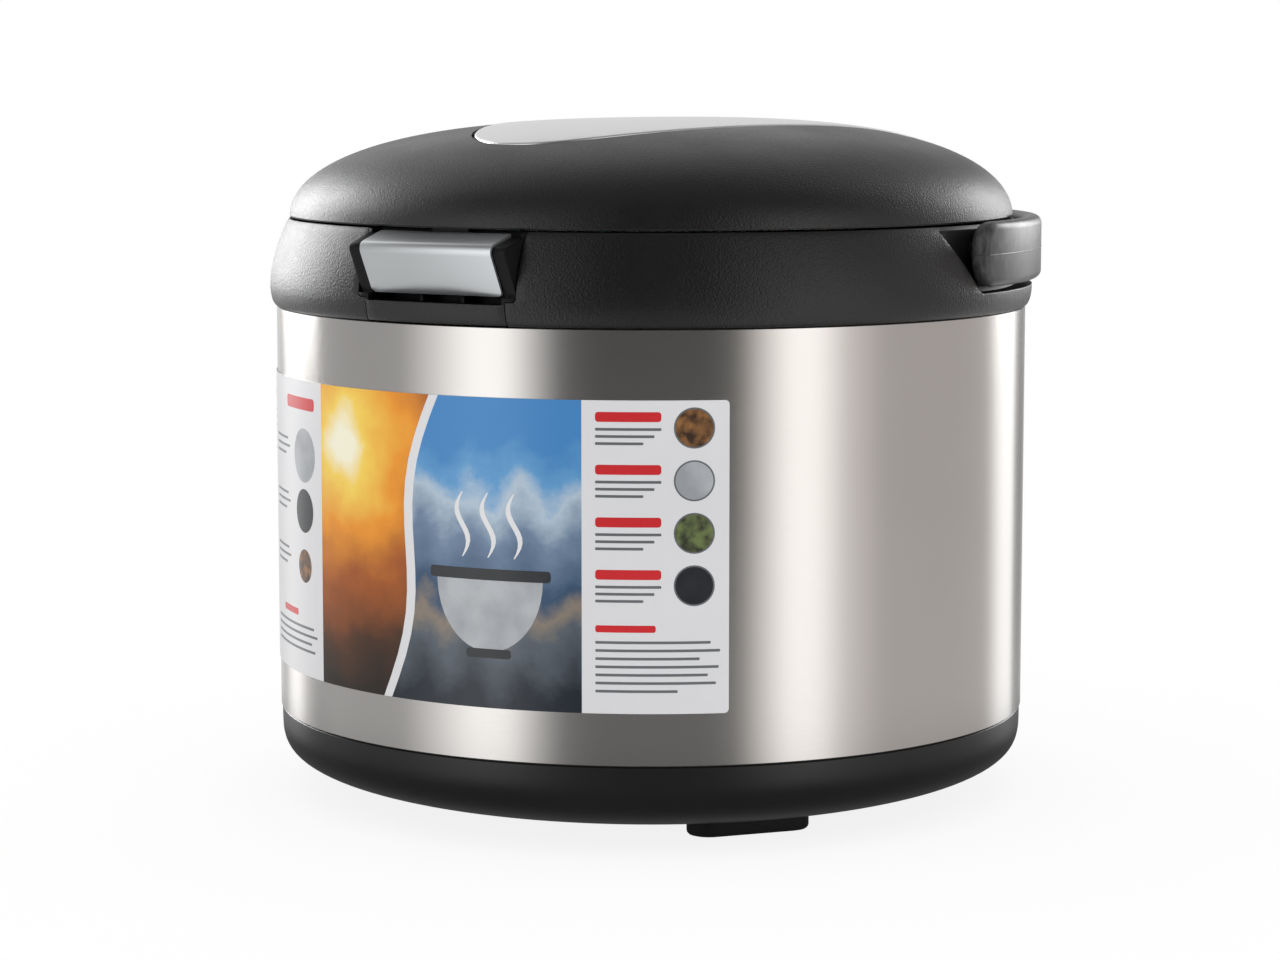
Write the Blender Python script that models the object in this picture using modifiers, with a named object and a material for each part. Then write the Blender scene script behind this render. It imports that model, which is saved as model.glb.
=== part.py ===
"""Thermal cooker: an insulated steel body with a hinged lid, a press latch,
a swinging carrying handle and a lift-out cooking pot.

Metres, +Z up. The origin is the centre of the flat underside of the base.
The latch is at the front (-Y) and the lid hinge at the back (+Y).
"""
import math

import bmesh
import bpy
from mathutils import Matrix, Vector

# Shared clearances and mesh counts
CLEARANCE = 0.0003
OVERRUN = 0.0020
MERGE = 0.00001
SEGMENTS = 36
SMALL_SEGMENTS = 12
TUBE_RESOLUTION = 2
SMOOTH_ANGLE = math.radians(35.0)
BEVEL_ANGLE = math.radians(50.0)
FLAT_ANGLE = math.radians(0.5)

# Body, read from outside to inside
BODY_RADIUS = 0.1500
SHELL_WALL = 0.0008
INSULATION = 0.0244
LINER_WALL = 0.0008
POT_GAP = 0.0080
BASE_HEIGHT = 0.0285
SLEEVE_HEIGHT = 0.1604
COLLAR_HEIGHT = 0.0346
LID_GAP = 0.0009

# Base cover
BASE_SETBACK = 0.0005
BASE_WALL = 0.0025
BASE_DEPTH_SHARE = 1.283
BASE_DEPTH_POWER = 4.47
BASE_RADIUS_POWER = 1.65
BASE_CURVE_POINTS = 6
BASE_SPACING_POWER = 0.6
SPIGOT_HEIGHT = 0.0045
SPIGOT_WALL = 0.0025
SCREW_CIRCLE = 0.0800
SCREW_COUNT = 4
BOSS_RADIUS = 0.0062
SCREW_RADIUS = 0.0020
SCREW_HEAD_RADIUS = 0.0040
SCREW_HEAD_HEIGHT = 0.0024
SCREW_SEAT_SHARE = 0.62
NUT_RADIUS = 0.0045
NUT_HEIGHT = 0.0040
PLATE_WALL = 0.0010

# Feet
FOOT_DROP = 0.0065
FOOT_LENGTH = 0.0490
FOOT_WIDTH = 0.0170
FOOT_CIRCLE = 0.1050
FOOT_EDGE = 0.0012
FOOT_SOCKET = 0.0010
FOOT_ANGLES = (52.8, 127.2, 232.8, 307.2)
FOOT_NAMES = ("front_right", "rear_right", "rear_left", "front_left")
FOOT_END_POINTS = 7

# Liner and pot
BOTTOM_INSULATION = 0.0115
LINER_CORNER = 0.0100
LINER_FLANGE = 0.0070
LEDGE_DEPTH = 0.0048
POT_WALL = 0.0010
POT_CORNER = 0.0120
POT_RIM_DROP = 0.0165
POT_BEAD = 0.0029
POT_DISC_HEIGHT = 0.0040
POT_DISC_MARGIN = 0.0180
CORNER_POINTS = 4
POT_LOOP_WIRE = 0.0020
POT_LOOP_RISE = 0.0110
POT_LOOP_DROP = 0.0180
POT_LOOP_SPAN = 0.0620
POT_LOOP_CORNER = 0.0090
POT_LOOP_POINTS = 4
LUG_LENGTH = 0.0120
LUG_WIDTH = 0.0140

# Lid of the pot
POT_LID_WALL = 0.0008
POT_LID_RISE = 0.0090
POT_LID_SKIRT = 0.0022
POT_LID_POINTS = 4
KNOB_RADIUS = 0.0150
KNOB_NECK_RADIUS = 0.0090
KNOB_HEIGHT = 0.0150
KNOB_NECK_HEIGHT = 0.0045
KNOB_SCREW_HEAD = 0.0015

# Collar
COLLAR_BULGE = 0.0025
COLLAR_BULGE_HEIGHT = 0.0080
COLLAR_SHOULDER = 0.0051
COLLAR_FOOT_SETBACK = 0.0001
COLLAR_POWER = 1.7
COLLAR_WALL = 0.0050
COLLAR_DECK = 0.0030
COLLAR_SPIGOT = 0.0059
NECK_WALL = 0.0025
NECK_DEPTH = 0.0135
STEP_MARGIN = 0.0015
COLLAR_FOOT_POINTS = 3
COLLAR_SIDE_POINTS = 5

# Handle and its channel in the collar
CHANNEL_SETBACK = 0.0025
HANDLE_GAP = 0.0008
HANDLE_THICKNESS = 0.0077
HANDLE_WIDTH = 0.0246
HANDLE_PIVOT_DROP = 0.0113
HANDLE_END = 0.0100
HANDLE_END_ROUNDING = 0.0095
HANDLE_END_POINTS = 5
HANDLE_EDGE = 0.0022
LEDGE_MARGIN = 0.0024
SLANT_ANGLE = math.radians(36.7)
SLANT_MARGIN = 0.0033
GRIP_RISE = 0.0047
GRIP_THICKNESS = 0.0180
GRIP_HALF_WIDTH = 0.0590
GRIP_SHOULDER = 0.0130
GRIP_ROUNDING = 0.0090
GRIP_ROUNDING_POINTS = 4
ARM_STEP = math.radians(5.0)
PIVOT_RADIUS = 0.0035
PIVOT_CAP = 0.0022
PIVOT_BOSS_RADIUS = 0.0075
PIVOT_BOSS_DEPTH = 0.0080

# Lid
LID_SETBACK = 0.0003
LID_WALL = 0.0025
LID_REBATE = 0.0010
CROWN_HEIGHT = 0.0383
CROWN_RADIUS_POWER = 2.97
CROWN_HEIGHT_POWER = 2.09
CROWN_LEAN = 0.0027
CROWN_POINTS = 9
CROWN_INNER_POINTS = 6
INLAY_THICKNESS = 0.0010
INLAY_RISE = 0.0004
INLAY_TIP_SHARE = 0.681
INLAY_SPREAD_SHARE = 0.5245
INLAY_POWER = 0.45
INLAY_BACK_SHARE = 0.816
INLAY_SPACING_POWER = 2.0
INLAY_FLANK_POINTS = 11
INLAY_BACK_POINTS = 7
INLAY_CORNER_STEPS = 12
INNER_COVER_WALL = 0.0020
INNER_FLANGE_WALL = 0.0024
DISH_RISE = 0.0157
DISH_DROP = 0.0012
DISH_POINTS = 4
DISH_POWER = 2.2
GROOVE_WALL = 0.0020
GASKET_WIDTH = 0.0052
GASKET_HEIGHT = 0.0076
LID_FOAM_GAP = 0.0035
LID_FOAM_RADIUS_SHARE = 0.885
LID_FOAM_POINTS = 6
LID_SCREW_ANGLES = (45.0, 135.0, 225.0, 315.0)
LID_BOSS_RADIUS = 0.0036
LID_SCREW_RADIUS = 0.0014
LID_SCREW_HEAD_RADIUS = 0.0026
LID_SCREW_HEAD_HEIGHT = 0.0010
LID_SCREW_LENGTH = 0.0055
LID_SCREW_INSET = 0.0050

# Lid hinge
HINGE_SETBACK = 0.0037
HINGE_RISE = 0.0070
BARREL_RADIUS = 0.0038
HINGE_PIN_RADIUS = 0.0017
KNUCKLE_HALF_WIDTH = 0.0130
LUG_OUTER = 0.0260
BARREL_MARGIN = 0.0018
KNUCKLE_GAP = 0.0006
WEB_SHARE = 0.7
BRACKET_INSET = 0.0012
BRACKET_DEPTH = 0.0045
BRACKET_HEIGHT = 0.0190
BRACKET_BLOCK_DEPTH = 0.0090
HINGE_SCREW_X_SHARE = 0.69
HINGE_SCREW_RISE_SHARE = 0.34

# Latch
LATCH_HALF_WIDTH = 0.0293
LATCH_TOP_DROP = 0.0011
LATCH_BEND_DROP = 0.0055
LATCH_FOOT_DROP = 0.0238
LATCH_TOP_SETBACK = 0.0081
LATCH_BEND_REACH = 0.0067
LATCH_FOOT_SETBACK = 0.0024
LATCH_COVER_WALL = 0.0012
LATCH_BEND_RADIUS = 0.0032
LATCH_BEND_POINTS = 5
LATCH_PIN_RADIUS = 0.00125
LATCH_PIN_REACH = 0.0057
LATCH_PIN_DROP = 0.0027
LEVER_BACK = 0.0060
LEVER_FOOT_RISE = 0.0026
LEVER_TOP_LIP = 0.0021
EAR_RADIUS = 0.0036
EAR_THICKNESS = 0.0030
EAR_GAP = 0.0005
EAR_ARM_SHARE = 0.6
RECESS_HALF_WIDTH = 0.0355
RECESS_FLOOR_DROP = 0.0258
MOUTH_GAP = 0.0007
TAB_HALF_WIDTH = 0.0315
TAB_DROP = 0.0267
TAB_WALL = 0.0025
HOUSING_WALL = 0.0017
HOUSING_BACK_MARGIN = 0.0011
HOUSING_FLOOR_WALL = 0.0014
HOUSING_FLOOR_DROP = 0.0305
CELL_RIB_X = 0.0093
CELL_RIB_WALL = 0.0015
CELL_RIB_MARGIN = 0.0006
HOOK_HALF_WIDTH = 0.0050
HOOK_HEIGHT = 0.0040
HOOK_MARGIN = 0.0012
CATCH_HALF_WIDTH = 0.0080
CATCH_THICKNESS = 0.0024
CATCH_GAP = 0.0005
CATCH_DROP = 0.0145
CATCH_FOOT_HALF_WIDTH = 0.0150
CATCH_FOOT_WALL = 0.0018
CATCH_SCREW_X = 0.0118

# Latch spring, which pushes the foot of the lever outwards
SPRING_WIRE = 0.0003
SPRING_COIL_RADIUS = 0.0023
SPRING_TURNS = 6
SPRING_TURN_POINTS = 9
SPRING_RISE = 0.0048
SPRING_PEG_RADIUS = 0.0016
SPRING_PEG_LENGTH = 0.0025

# Label
LABEL_FILM = 0.0003
LABEL_BOTTOM = 0.0195
LABEL_HEIGHT = 0.1150
LABEL_LEFT = -65.0
LABEL_RIGHT = 43.0
LABEL_POINTS = 25

# Levels along the axis
Z_SEAM = BASE_HEIGHT
Z_COLLAR = Z_SEAM + SLEEVE_HEIGHT
Z_LID = Z_COLLAR + COLLAR_HEIGHT
Z_PLATE = Z_SEAM + SPIGOT_HEIGHT + CLEARANCE
Z_FOAM = Z_PLATE + PLATE_WALL + CLEARANCE
Z_LINER = Z_FOAM + BOTTOM_INSULATION + CLEARANCE
Z_DISC = Z_LINER + LINER_WALL + CLEARANCE
Z_POT = Z_DISC + POT_DISC_HEIGHT + CLEARANCE
Z_RIM = Z_LID - POT_RIM_DROP
Z_DECK = Z_LID - LID_GAP / 2
Z_LID_EDGE = Z_LID + LID_GAP / 2
Z_LEDGE = Z_LID - LEDGE_DEPTH
Z_FLANGE = Z_LEDGE + CLEARANCE + LINER_WALL
Z_PIVOT = Z_LID - HANDLE_PIVOT_DROP
Z_HINGE = Z_LID + HINGE_RISE

# Radii that follow from the ones above
SPIGOT_RADIUS = BODY_RADIUS - SHELL_WALL - CLEARANCE
LINER_RADIUS = BODY_RADIUS - SHELL_WALL - INSULATION - LINER_WALL
NECK_RADIUS = LINER_RADIUS + LINER_WALL + CLEARANCE
FLANGE_RADIUS = LINER_RADIUS + LINER_FLANGE
STEP_RADIUS = FLANGE_RADIUS + STEP_MARGIN
POT_RADIUS = LINER_RADIUS - POT_GAP
COLLAR_TOP_RADIUS = BODY_RADIUS - COLLAR_SHOULDER
COLLAR_MAX_RADIUS = BODY_RADIUS + COLLAR_BULGE
LID_RADIUS = COLLAR_TOP_RADIUS - LID_SETBACK
CHANNEL_RADIUS = BODY_RADIUS - CHANNEL_SETBACK
CAVITY_RADIUS = CHANNEL_RADIUS - COLLAR_WALL
ARM_INNER = CHANNEL_RADIUS + HANDLE_GAP
ARM_OUTER = ARM_INNER + HANDLE_THICKNESS
GRIP_INNER = ARM_INNER + GRIP_RISE
GRIP_OUTER = GRIP_INNER + GRIP_THICKNESS
END_REACH = HANDLE_END_ROUNDING + math.hypot(HANDLE_END - HANDLE_END_ROUNDING,
                                             HANDLE_WIDTH / 2 - HANDLE_END_ROUNDING)
Z_HANDLE_LEDGE = Z_PIVOT - END_REACH - LEDGE_MARGIN
HINGE_Y = BODY_RADIUS - HINGE_SETBACK
LATCH_TOP_Y = LATCH_TOP_SETBACK - BODY_RADIUS
LATCH_BEND_Y = -LATCH_BEND_REACH - BODY_RADIUS
LATCH_FOOT_Y = LATCH_FOOT_SETBACK - BODY_RADIUS
LATCH_PIN_Y = LATCH_BEND_Y + LATCH_PIN_REACH
LEVER_BACK_Y = LATCH_PIN_Y + LEVER_BACK
Z_LATCH_TOP = Z_LID - LATCH_TOP_DROP
Z_LATCH_BEND = Z_LID - LATCH_BEND_DROP
Z_LATCH_FOOT = Z_LID - LATCH_FOOT_DROP
Z_LATCH_PIN = Z_LATCH_BEND - LATCH_PIN_DROP
Z_SPRING = Z_LATCH_FOOT + SPRING_RISE
HOUSING_BACK_Y = -STEP_RADIUS - HOUSING_BACK_MARGIN
HOUSING_FRONT_Y = -COLLAR_MAX_RADIUS - OVERRUN
RECESS_BACK_Y = HOUSING_BACK_Y - CLEARANCE - HOUSING_WALL
CATCH_BACK_Y = RECESS_BACK_Y - CATCH_GAP
CATCH_FRONT_Y = CATCH_BACK_Y - CATCH_THICKNESS
INNER_COVER_RADIUS = LID_RADIUS - LID_WALL - CLEARANCE
GASKET_INNER = NECK_RADIUS + CLEARANCE
GASKET_OUTER = GASKET_INNER + GASKET_WIDTH
GROOVE_OUTER = GASKET_OUTER + CLEARANCE + GROOVE_WALL
BRACKET_FACE = HINGE_Y - BARREL_RADIUS + BRACKET_INSET
HINGE_SCREW_X = (-LUG_OUTER * HINGE_SCREW_X_SHARE, LUG_OUTER * HINGE_SCREW_X_SHARE)
Z_HINGE_SCREW = Z_DECK - BRACKET_HEIGHT * (1.0 - HINGE_SCREW_RISE_SHARE)
Z_RECESS = Z_LID - RECESS_FLOOR_DROP
Z_SCREW_SEAT = Z_LID_EDGE + LID_SCREW_HEAD_HEIGHT
Z_INNER_FLANGE = Z_LID_EDGE + INNER_FLANGE_WALL
Z_GROOVE_ROOF = Z_FLANGE + CLEARANCE + GASKET_HEIGHT + CLEARANCE + GROOVE_WALL

FINISHES = {
    "brushed_steel": ((0.62, 0.61, 0.60), 0.32, 1.0),
    "polished_steel": ((0.70, 0.70, 0.70), 0.18, 1.0),
    "screw_steel": ((0.55, 0.55, 0.56), 0.35, 1.0),
    "textured_black": ((0.020, 0.020, 0.021), 0.55, 0.0),
    "smooth_black": ((0.012, 0.012, 0.013), 0.38, 0.0),
    "silver_paint": ((0.60, 0.62, 0.63), 0.35, 0.4),
    "white_plastic": ((0.80, 0.80, 0.79), 0.40, 0.0),
    "silicone": ((0.62, 0.63, 0.62), 0.60, 0.0),
    "foam": ((0.75, 0.68, 0.48), 0.90, 0.0),
    "rubber": ((0.015, 0.015, 0.015), 0.80, 0.0),
    "printed_film": ((0.72, 0.72, 0.72), 0.30, 0.0),
}


def reset_scene():
    """Empty the scene and make the collections for the parts and the cutters."""
    for item in list(bpy.data.objects):
        bpy.data.objects.remove(item)
    for name in ("thermal_cooker", "cutters"):
        bpy.context.scene.collection.children.link(bpy.data.collections.new(name))


def finish_material(name):
    """The Principled material of a finish, made once."""
    if name in bpy.data.materials:
        return bpy.data.materials[name]
    color, roughness, metallic = FINISHES[name]
    material = bpy.data.materials.new(name)
    material.use_nodes = True
    shader = material.node_tree.nodes["Principled BSDF"]
    shader.inputs["Base Color"].default_value = (*color, 1.0)
    shader.inputs["Roughness"].default_value = roughness
    shader.inputs["Metallic"].default_value = metallic
    return material


def place(item, finish):
    """Put an object in the parts collection with its finish."""
    bpy.data.collections["thermal_cooker"].objects.link(item)
    item.data.materials.clear()
    item.data.materials.append(finish_material(finish))
    item.data.shade_smooth()
    item.data.set_sharp_from_angle(angle=SMOOTH_ANGLE)
    return item


def as_cutter(item):
    """Keep an object as a cutter that isn't part of the cooker."""
    bpy.data.collections["cutters"].objects.link(item)
    item.hide_render = True
    item.display_type = "WIRE"
    return item


def evaluated_mesh(item):
    """The mesh of an object after its modifiers, for an object in no collection."""
    bpy.context.scene.collection.objects.link(item)
    graph = bpy.context.evaluated_depsgraph_get()
    mesh = bpy.data.meshes.new_from_object(item.evaluated_get(graph))
    bpy.context.scene.collection.objects.unlink(item)
    return mesh


def baked(item):
    """Apply the modifiers of an object that is in no collection."""
    item.data = evaluated_mesh(item)
    item.modifiers.clear()
    return item


def from_bmesh(name, shape):
    """An object made of a bmesh."""
    mesh = bpy.data.meshes.new(name)
    shape.to_mesh(mesh)
    shape.free()
    return bpy.data.objects.new(name, mesh)


def from_curve(name, curve, matrix):
    """A welded mesh object made of a curve and placed by a matrix."""
    guide = bpy.data.objects.new(name, curve)
    shape = bmesh.new()
    shape.from_mesh(evaluated_mesh(guide))
    bpy.data.objects.remove(guide)
    bmesh.ops.remove_doubles(shape, verts=shape.verts, dist=MERGE)
    bmesh.ops.dissolve_limit(shape, angle_limit=FLAT_ANGLE, verts=shape.verts, edges=shape.edges)
    bmesh.ops.transform(shape, matrix=matrix, verts=shape.verts)
    bmesh.ops.recalc_face_normals(shape, faces=shape.faces)
    return from_bmesh(name, shape)


def outline_solid(name, outline, thickness, matrix):
    """A flat outline given thickness about its plane, then placed by a matrix."""
    curve = bpy.data.curves.new(name, "CURVE")
    curve.dimensions = "2D"
    curve.fill_mode = "BOTH"
    curve.extrude = thickness / 2
    spline = curve.splines.new("POLY")
    spline.points.add(len(outline) - 1)
    for point, (across, along) in zip(spline.points, outline):
        point.co = (across, along, 0.0, 1.0)
    spline.use_cyclic_u = True
    return from_curve(name, curve, matrix)


def tube(name, points, radius, resolution):
    """A round wire along a list of points."""
    curve = bpy.data.curves.new(name, "CURVE")
    curve.dimensions = "3D"
    curve.bevel_depth = radius
    curve.bevel_resolution = resolution
    curve.use_fill_caps = True
    spline = curve.splines.new("POLY")
    spline.points.add(len(points) - 1)
    for point, position in zip(spline.points, points):
        point.co = (*position, 1.0)
    return from_curve(name, curve, Matrix.Identity(4))


def turned(name, profile, closed=False, segments=SEGMENTS):
    """A body of revolution. Its (radius, height) profile runs down the outer side."""
    mesh = bpy.data.meshes.new(name)
    count = len(profile)
    edges = [(index, (index + 1) % count) for index in range(count if closed else count - 1)]
    mesh.from_pydata([(radius, 0.0, height) for radius, height in profile], edges, [])
    item = bpy.data.objects.new(name, mesh)
    screw = item.modifiers.new("turn", "SCREW")
    screw.axis = "Z"
    screw.angle = math.tau
    screw.steps = segments
    screw.render_steps = segments
    screw.use_merge_vertices = True
    screw.merge_threshold = MERGE
    return baked(item)


def level_matrix(height):
    """Outline in the XY plane, thickness about a height."""
    return Matrix.Translation((0.0, 0.0, height))


def side_matrix():
    """Outline in (Y, Z), thickness about X = 0."""
    return Matrix(((0.0, 0.0, 1.0, 0.0), (1.0, 0.0, 0.0, 0.0), (0.0, 1.0, 0.0, 0.0), (0.0, 0.0, 0.0, 1.0)))


def box(name, low, high):
    """A box between two corners."""
    shape = bmesh.new()
    bmesh.ops.create_cube(shape, size=1.0)
    bmesh.ops.scale(shape, vec=Vector(high) - Vector(low), verts=shape.verts)
    bmesh.ops.translate(shape, vec=(Vector(high) + Vector(low)) / 2, verts=shape.verts)
    return from_bmesh(name, shape)


def aim(start, direction):
    """The matrix that takes the Z axis to a direction from a point."""
    turn = Vector((0.0, 0.0, 1.0)).rotation_difference(Vector(direction))
    return Matrix.Translation(start) @ turn.to_matrix().to_4x4()


def rod(name, start, end, radius, segments=SMALL_SEGMENTS):
    """A round rod between two points."""
    start, end = Vector(start), Vector(end)
    shape = bmesh.new()
    bmesh.ops.create_cone(shape, cap_ends=True, segments=segments, radius1=radius, radius2=radius,
                          depth=(end - start).length)
    bmesh.ops.transform(shape, matrix=aim((start + end) / 2, end - start), verts=shape.verts)
    return from_bmesh(name, shape)


def screw(name, seat, direction, length, radius, head_radius, head_height):
    """A screw whose head rests at its seat and whose shank runs on in a direction."""
    profile = [(0.0, length), (radius, length), (radius, 0.0), (head_radius, 0.0),
               (head_radius, -head_height), (0.0, -head_height)]
    item = turned(name, profile, segments=SMALL_SEGMENTS)
    item.data.transform(aim(Vector(seat), direction))
    return place(item, "screw_steel")


def change(item, other, operation):
    """Cut, join or intersect an object with another one."""
    modifier = item.modifiers.new(operation.lower(), "BOOLEAN")
    modifier.operation = operation
    modifier.solver = "EXACT"
    modifier.object = as_cutter(other)


def cut(item, other):
    """Take another object away."""
    change(item, other, "DIFFERENCE")


def join(item, other):
    """Add another object."""
    change(item, other, "UNION")


def keep_inside(item, other):
    """Keep what lies in another object."""
    change(item, other, "INTERSECT")


def edge_bevel(item, width, segments):
    """Round the sharp edges."""
    bevel = item.modifiers.new("edges", "BEVEL")
    bevel.width = width
    bevel.segments = segments
    bevel.limit_method = "ANGLE"
    bevel.angle_limit = BEVEL_ANGLE


def carry_on(items, name, position):
    """Parent moving pieces to an empty on their joint's axis."""
    axis = bpy.data.objects.new(name, None)
    axis.location = position
    bpy.data.collections["thermal_cooker"].objects.link(axis)
    for item in items:
        item.parent = axis
        item.matrix_parent_inverse = Matrix.Translation(position).inverted()


def polar(radius, degrees_from_front, height):
    """A point at an angle from the front, positive to the right."""
    angle = math.radians(degrees_from_front)
    return Vector((radius * math.sin(angle), -radius * math.cos(angle), height))


def arc(center, radius, start, end, count):
    """Points of a circular arc, angles in radians."""
    angles = [start + (end - start) * index / (count - 1) for index in range(count)]
    return [(center[0] + radius * math.cos(angle), center[1] + radius * math.sin(angle)) for angle in angles]


def mirrored(points):
    """Points of an outline on the other side of its middle, in the opposite order."""
    return [(-across, along) for across, along in reversed(points)]


def base_radius(height):
    """Outer radius of the base cover at a height."""
    depth = (Z_SEAM - height) / (BASE_HEIGHT * BASE_DEPTH_SHARE)
    return (BODY_RADIUS - BASE_SETBACK) * (1.0 - depth**BASE_DEPTH_POWER) ** (1.0 / BASE_RADIUS_POWER)


def base_cover():
    """Bowl-shaped cover under the body, with a spigot that the steel sleeve stands round."""
    ledge = Z_SEAM - CLEARANCE
    shares = [(index / (BASE_CURVE_POINTS - 1)) ** BASE_SPACING_POWER for index in range(BASE_CURVE_POINTS)]
    outer = [(base_radius(ledge * (1.0 - share)), ledge * (1.0 - share)) for share in shares]
    squeeze = (Z_SEAM - BASE_WALL) / Z_SEAM
    inner = [(radius - BASE_WALL, BASE_WALL + height * squeeze) for radius, height in reversed(outer[1:])]
    wall_in = SPIGOT_RADIUS - SPIGOT_WALL
    top = Z_SEAM + SPIGOT_HEIGHT
    rim = [(wall_in, Z_SEAM), (wall_in, top), (SPIGOT_RADIUS, top), (SPIGOT_RADIUS, ledge)]
    profile = [(0.0, BASE_WALL)] + inner + rim + outer + [(0.0, 0.0)]
    return place(turned("base_cover", profile), "smooth_black")


def base_pieces():
    """Base cover, steel floor plate, the screws that hold them together and the feet."""
    cover = base_cover()
    plate_top = Z_PLATE + PLATE_WALL
    disc = [(0.0, plate_top), (SPIGOT_RADIUS, plate_top), (SPIGOT_RADIUS, Z_PLATE), (0.0, Z_PLATE)]
    plate = place(turned("shell_floor", disc), "screw_steel")
    nut_low = Z_PLATE - NUT_HEIGHT
    boss_high = nut_low - CLEARANCE
    seat = Z_SEAM * SCREW_SEAT_SHARE
    for index in range(SCREW_COUNT):
        spot = polar(SCREW_CIRCLE, math.degrees(math.tau * index / SCREW_COUNT), 0.0)
        rise = Vector((0.0, 0.0, 1.0))
        join(cover, rod("boss", spot + rise * BASE_WALL / 2, spot + rise * boss_high, BOSS_RADIUS))
        cut(cover, rod("head_hole", spot - rise * OVERRUN, spot + rise * seat, SCREW_HEAD_RADIUS + CLEARANCE))
        cut(cover, rod("hole", spot - rise * OVERRUN, spot + rise * plate_top, SCREW_RADIUS + CLEARANCE))
        join(plate, rod("nut", spot + rise * nut_low, spot + rise * (Z_PLATE + PLATE_WALL / 2), NUT_RADIUS))
        cut(plate, rod("thread", spot, spot + rise * (plate_top + OVERRUN), SCREW_RADIUS + CLEARANCE))
        screw(f"base_screw_{index + 1}", spot + rise * (seat - CLEARANCE), rise, Z_PLATE - seat,
              SCREW_RADIUS, SCREW_HEAD_RADIUS, SCREW_HEAD_HEIGHT)
    for name, angle in zip(FOOT_NAMES, FOOT_ANGLES):
        foot = place(foot_solid("foot_" + name, angle, 0.0, -FOOT_DROP, FOOT_SOCKET - CLEARANCE), "rubber")
        edge_bevel(foot, FOOT_EDGE, 1)
        cut(cover, foot_solid("foot_socket", angle, CLEARANCE, -OVERRUN, FOOT_SOCKET))


def foot_solid(name, angle, margin, low, high):
    """A pad with round ends, its length along the rim of the base."""
    half = FOOT_WIDTH / 2 + margin
    reach = (FOOT_LENGTH - FOOT_WIDTH) / 2
    outline = arc((reach, 0.0), half, -math.pi / 2, math.pi / 2, FOOT_END_POINTS)
    outline += mirrored(outline)
    matrix = Matrix.Translation(polar(FOOT_CIRCLE, angle, (low + high) / 2))
    return outline_solid(name, outline, high - low, matrix @ Matrix.Rotation(math.radians(angle), 4, "Z"))


def corner_profile(radius, bottom, corner):
    """From a straight wall round a corner to a flat bottom, going down."""
    center = (radius - corner, bottom + corner)
    return arc(center, corner, 0.0, -math.pi / 2, CORNER_POINTS)


def cup(name, inside, rim, outside):
    """An open vessel. Its inside and outside corners go down to flat bottoms."""
    profile = [(0.0, inside[-1][1])] + list(reversed(inside)) + rim + outside + [(0.0, outside[-1][1])]
    return turned(name, profile)


def body_pieces():
    """Steel sleeve, insulation and steel liner."""
    top = Z_COLLAR - CLEARANCE
    inner = BODY_RADIUS - SHELL_WALL
    sleeve = [(inner, top), (BODY_RADIUS, top), (BODY_RADIUS, Z_SEAM), (inner, Z_SEAM)]
    place(turned("outer_shell", sleeve, closed=True), "brushed_steel")
    outside = corner_profile(LINER_RADIUS + LINER_WALL, Z_LINER, LINER_CORNER + LINER_WALL)
    inside = corner_profile(LINER_RADIUS, Z_LINER + LINER_WALL, LINER_CORNER)
    flange_low = Z_FLANGE - LINER_WALL
    rim = [(LINER_RADIUS, Z_FLANGE), (FLANGE_RADIUS, Z_FLANGE), (FLANGE_RADIUS, flange_low),
           (LINER_RADIUS + LINER_WALL, flange_low)]
    place(cup("inner_liner", inside, rim, outside), "polished_steel")
    foam_top = Z_COLLAR - COLLAR_SPIGOT - CLEARANCE
    cavity = corner_profile(NECK_RADIUS, Z_FOAM + BOTTOM_INSULATION, LINER_CORNER + LINER_WALL)
    rim = [(NECK_RADIUS, foam_top), (SPIGOT_RADIUS, foam_top)]
    place(cup("insulation_foam", cavity, rim, [(SPIGOT_RADIUS, Z_FOAM)]), "foam")


def pot_pieces():
    """Cooking pot with its base disc, loop handles and lid."""
    outside = corner_profile(POT_RADIUS, Z_POT, POT_CORNER)
    inside = corner_profile(POT_RADIUS - POT_WALL, Z_POT + POT_WALL, POT_CORNER - POT_WALL)
    bead = POT_RADIUS + POT_BEAD
    bead_low = Z_RIM - POT_BEAD
    rim = [(POT_RADIUS - POT_WALL, Z_RIM), (bead, Z_RIM), (bead, bead_low), (POT_RADIUS, bead_low)]
    place(cup("inner_pot", inside, rim, outside), "polished_steel")
    radius = POT_RADIUS - POT_DISC_MARGIN
    top = Z_POT - CLEARANCE
    disc = [(0.0, top), (radius, top), (radius, Z_DISC), (0.0, Z_DISC)]
    place(turned("pot_base_disc", disc), "brushed_steel")
    for name, turn in (("right", 0.0), ("left", math.pi)):
        pot_loop("pot_handle_" + name, turn)
    pot_lid()


def pot_loop(name, turn):
    """A wire loop that stands up beside the rim, on two pads welded to the pot."""
    ring = POT_RADIUS + POT_BEAD + CLEARANCE + POT_LOOP_WIRE
    half = POT_LOOP_SPAN / 2
    foot = Z_RIM - POT_LOOP_DROP
    corner = POT_LOOP_CORNER
    center = (half - corner, Z_RIM + POT_LOOP_RISE - corner)
    path = [(half, foot), (half, Z_RIM)] + arc(center, corner, 0.0, math.pi / 2, POT_LOOP_POINTS)
    path += mirrored(path)
    points = [(ring * math.cos(along / ring), ring * math.sin(along / ring), level) for along, level in path]
    loop = tube(name, points, POT_LOOP_WIRE, TUBE_RESOLUTION)
    loop.data.transform(Matrix.Rotation(turn, 4, "Z"))
    place(loop, "polished_steel")
    for side in (-1.0, 1.0):
        pad = box("pad", (POT_RADIUS + CLEARANCE, -LUG_WIDTH / 2, foot - LUG_LENGTH / 2),
                  (ring, LUG_WIDTH / 2, foot + LUG_LENGTH / 2))
        pad.data.transform(Matrix.Rotation(turn + side * half / ring, 4, "Z"))
        join(loop, pad)


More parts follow.
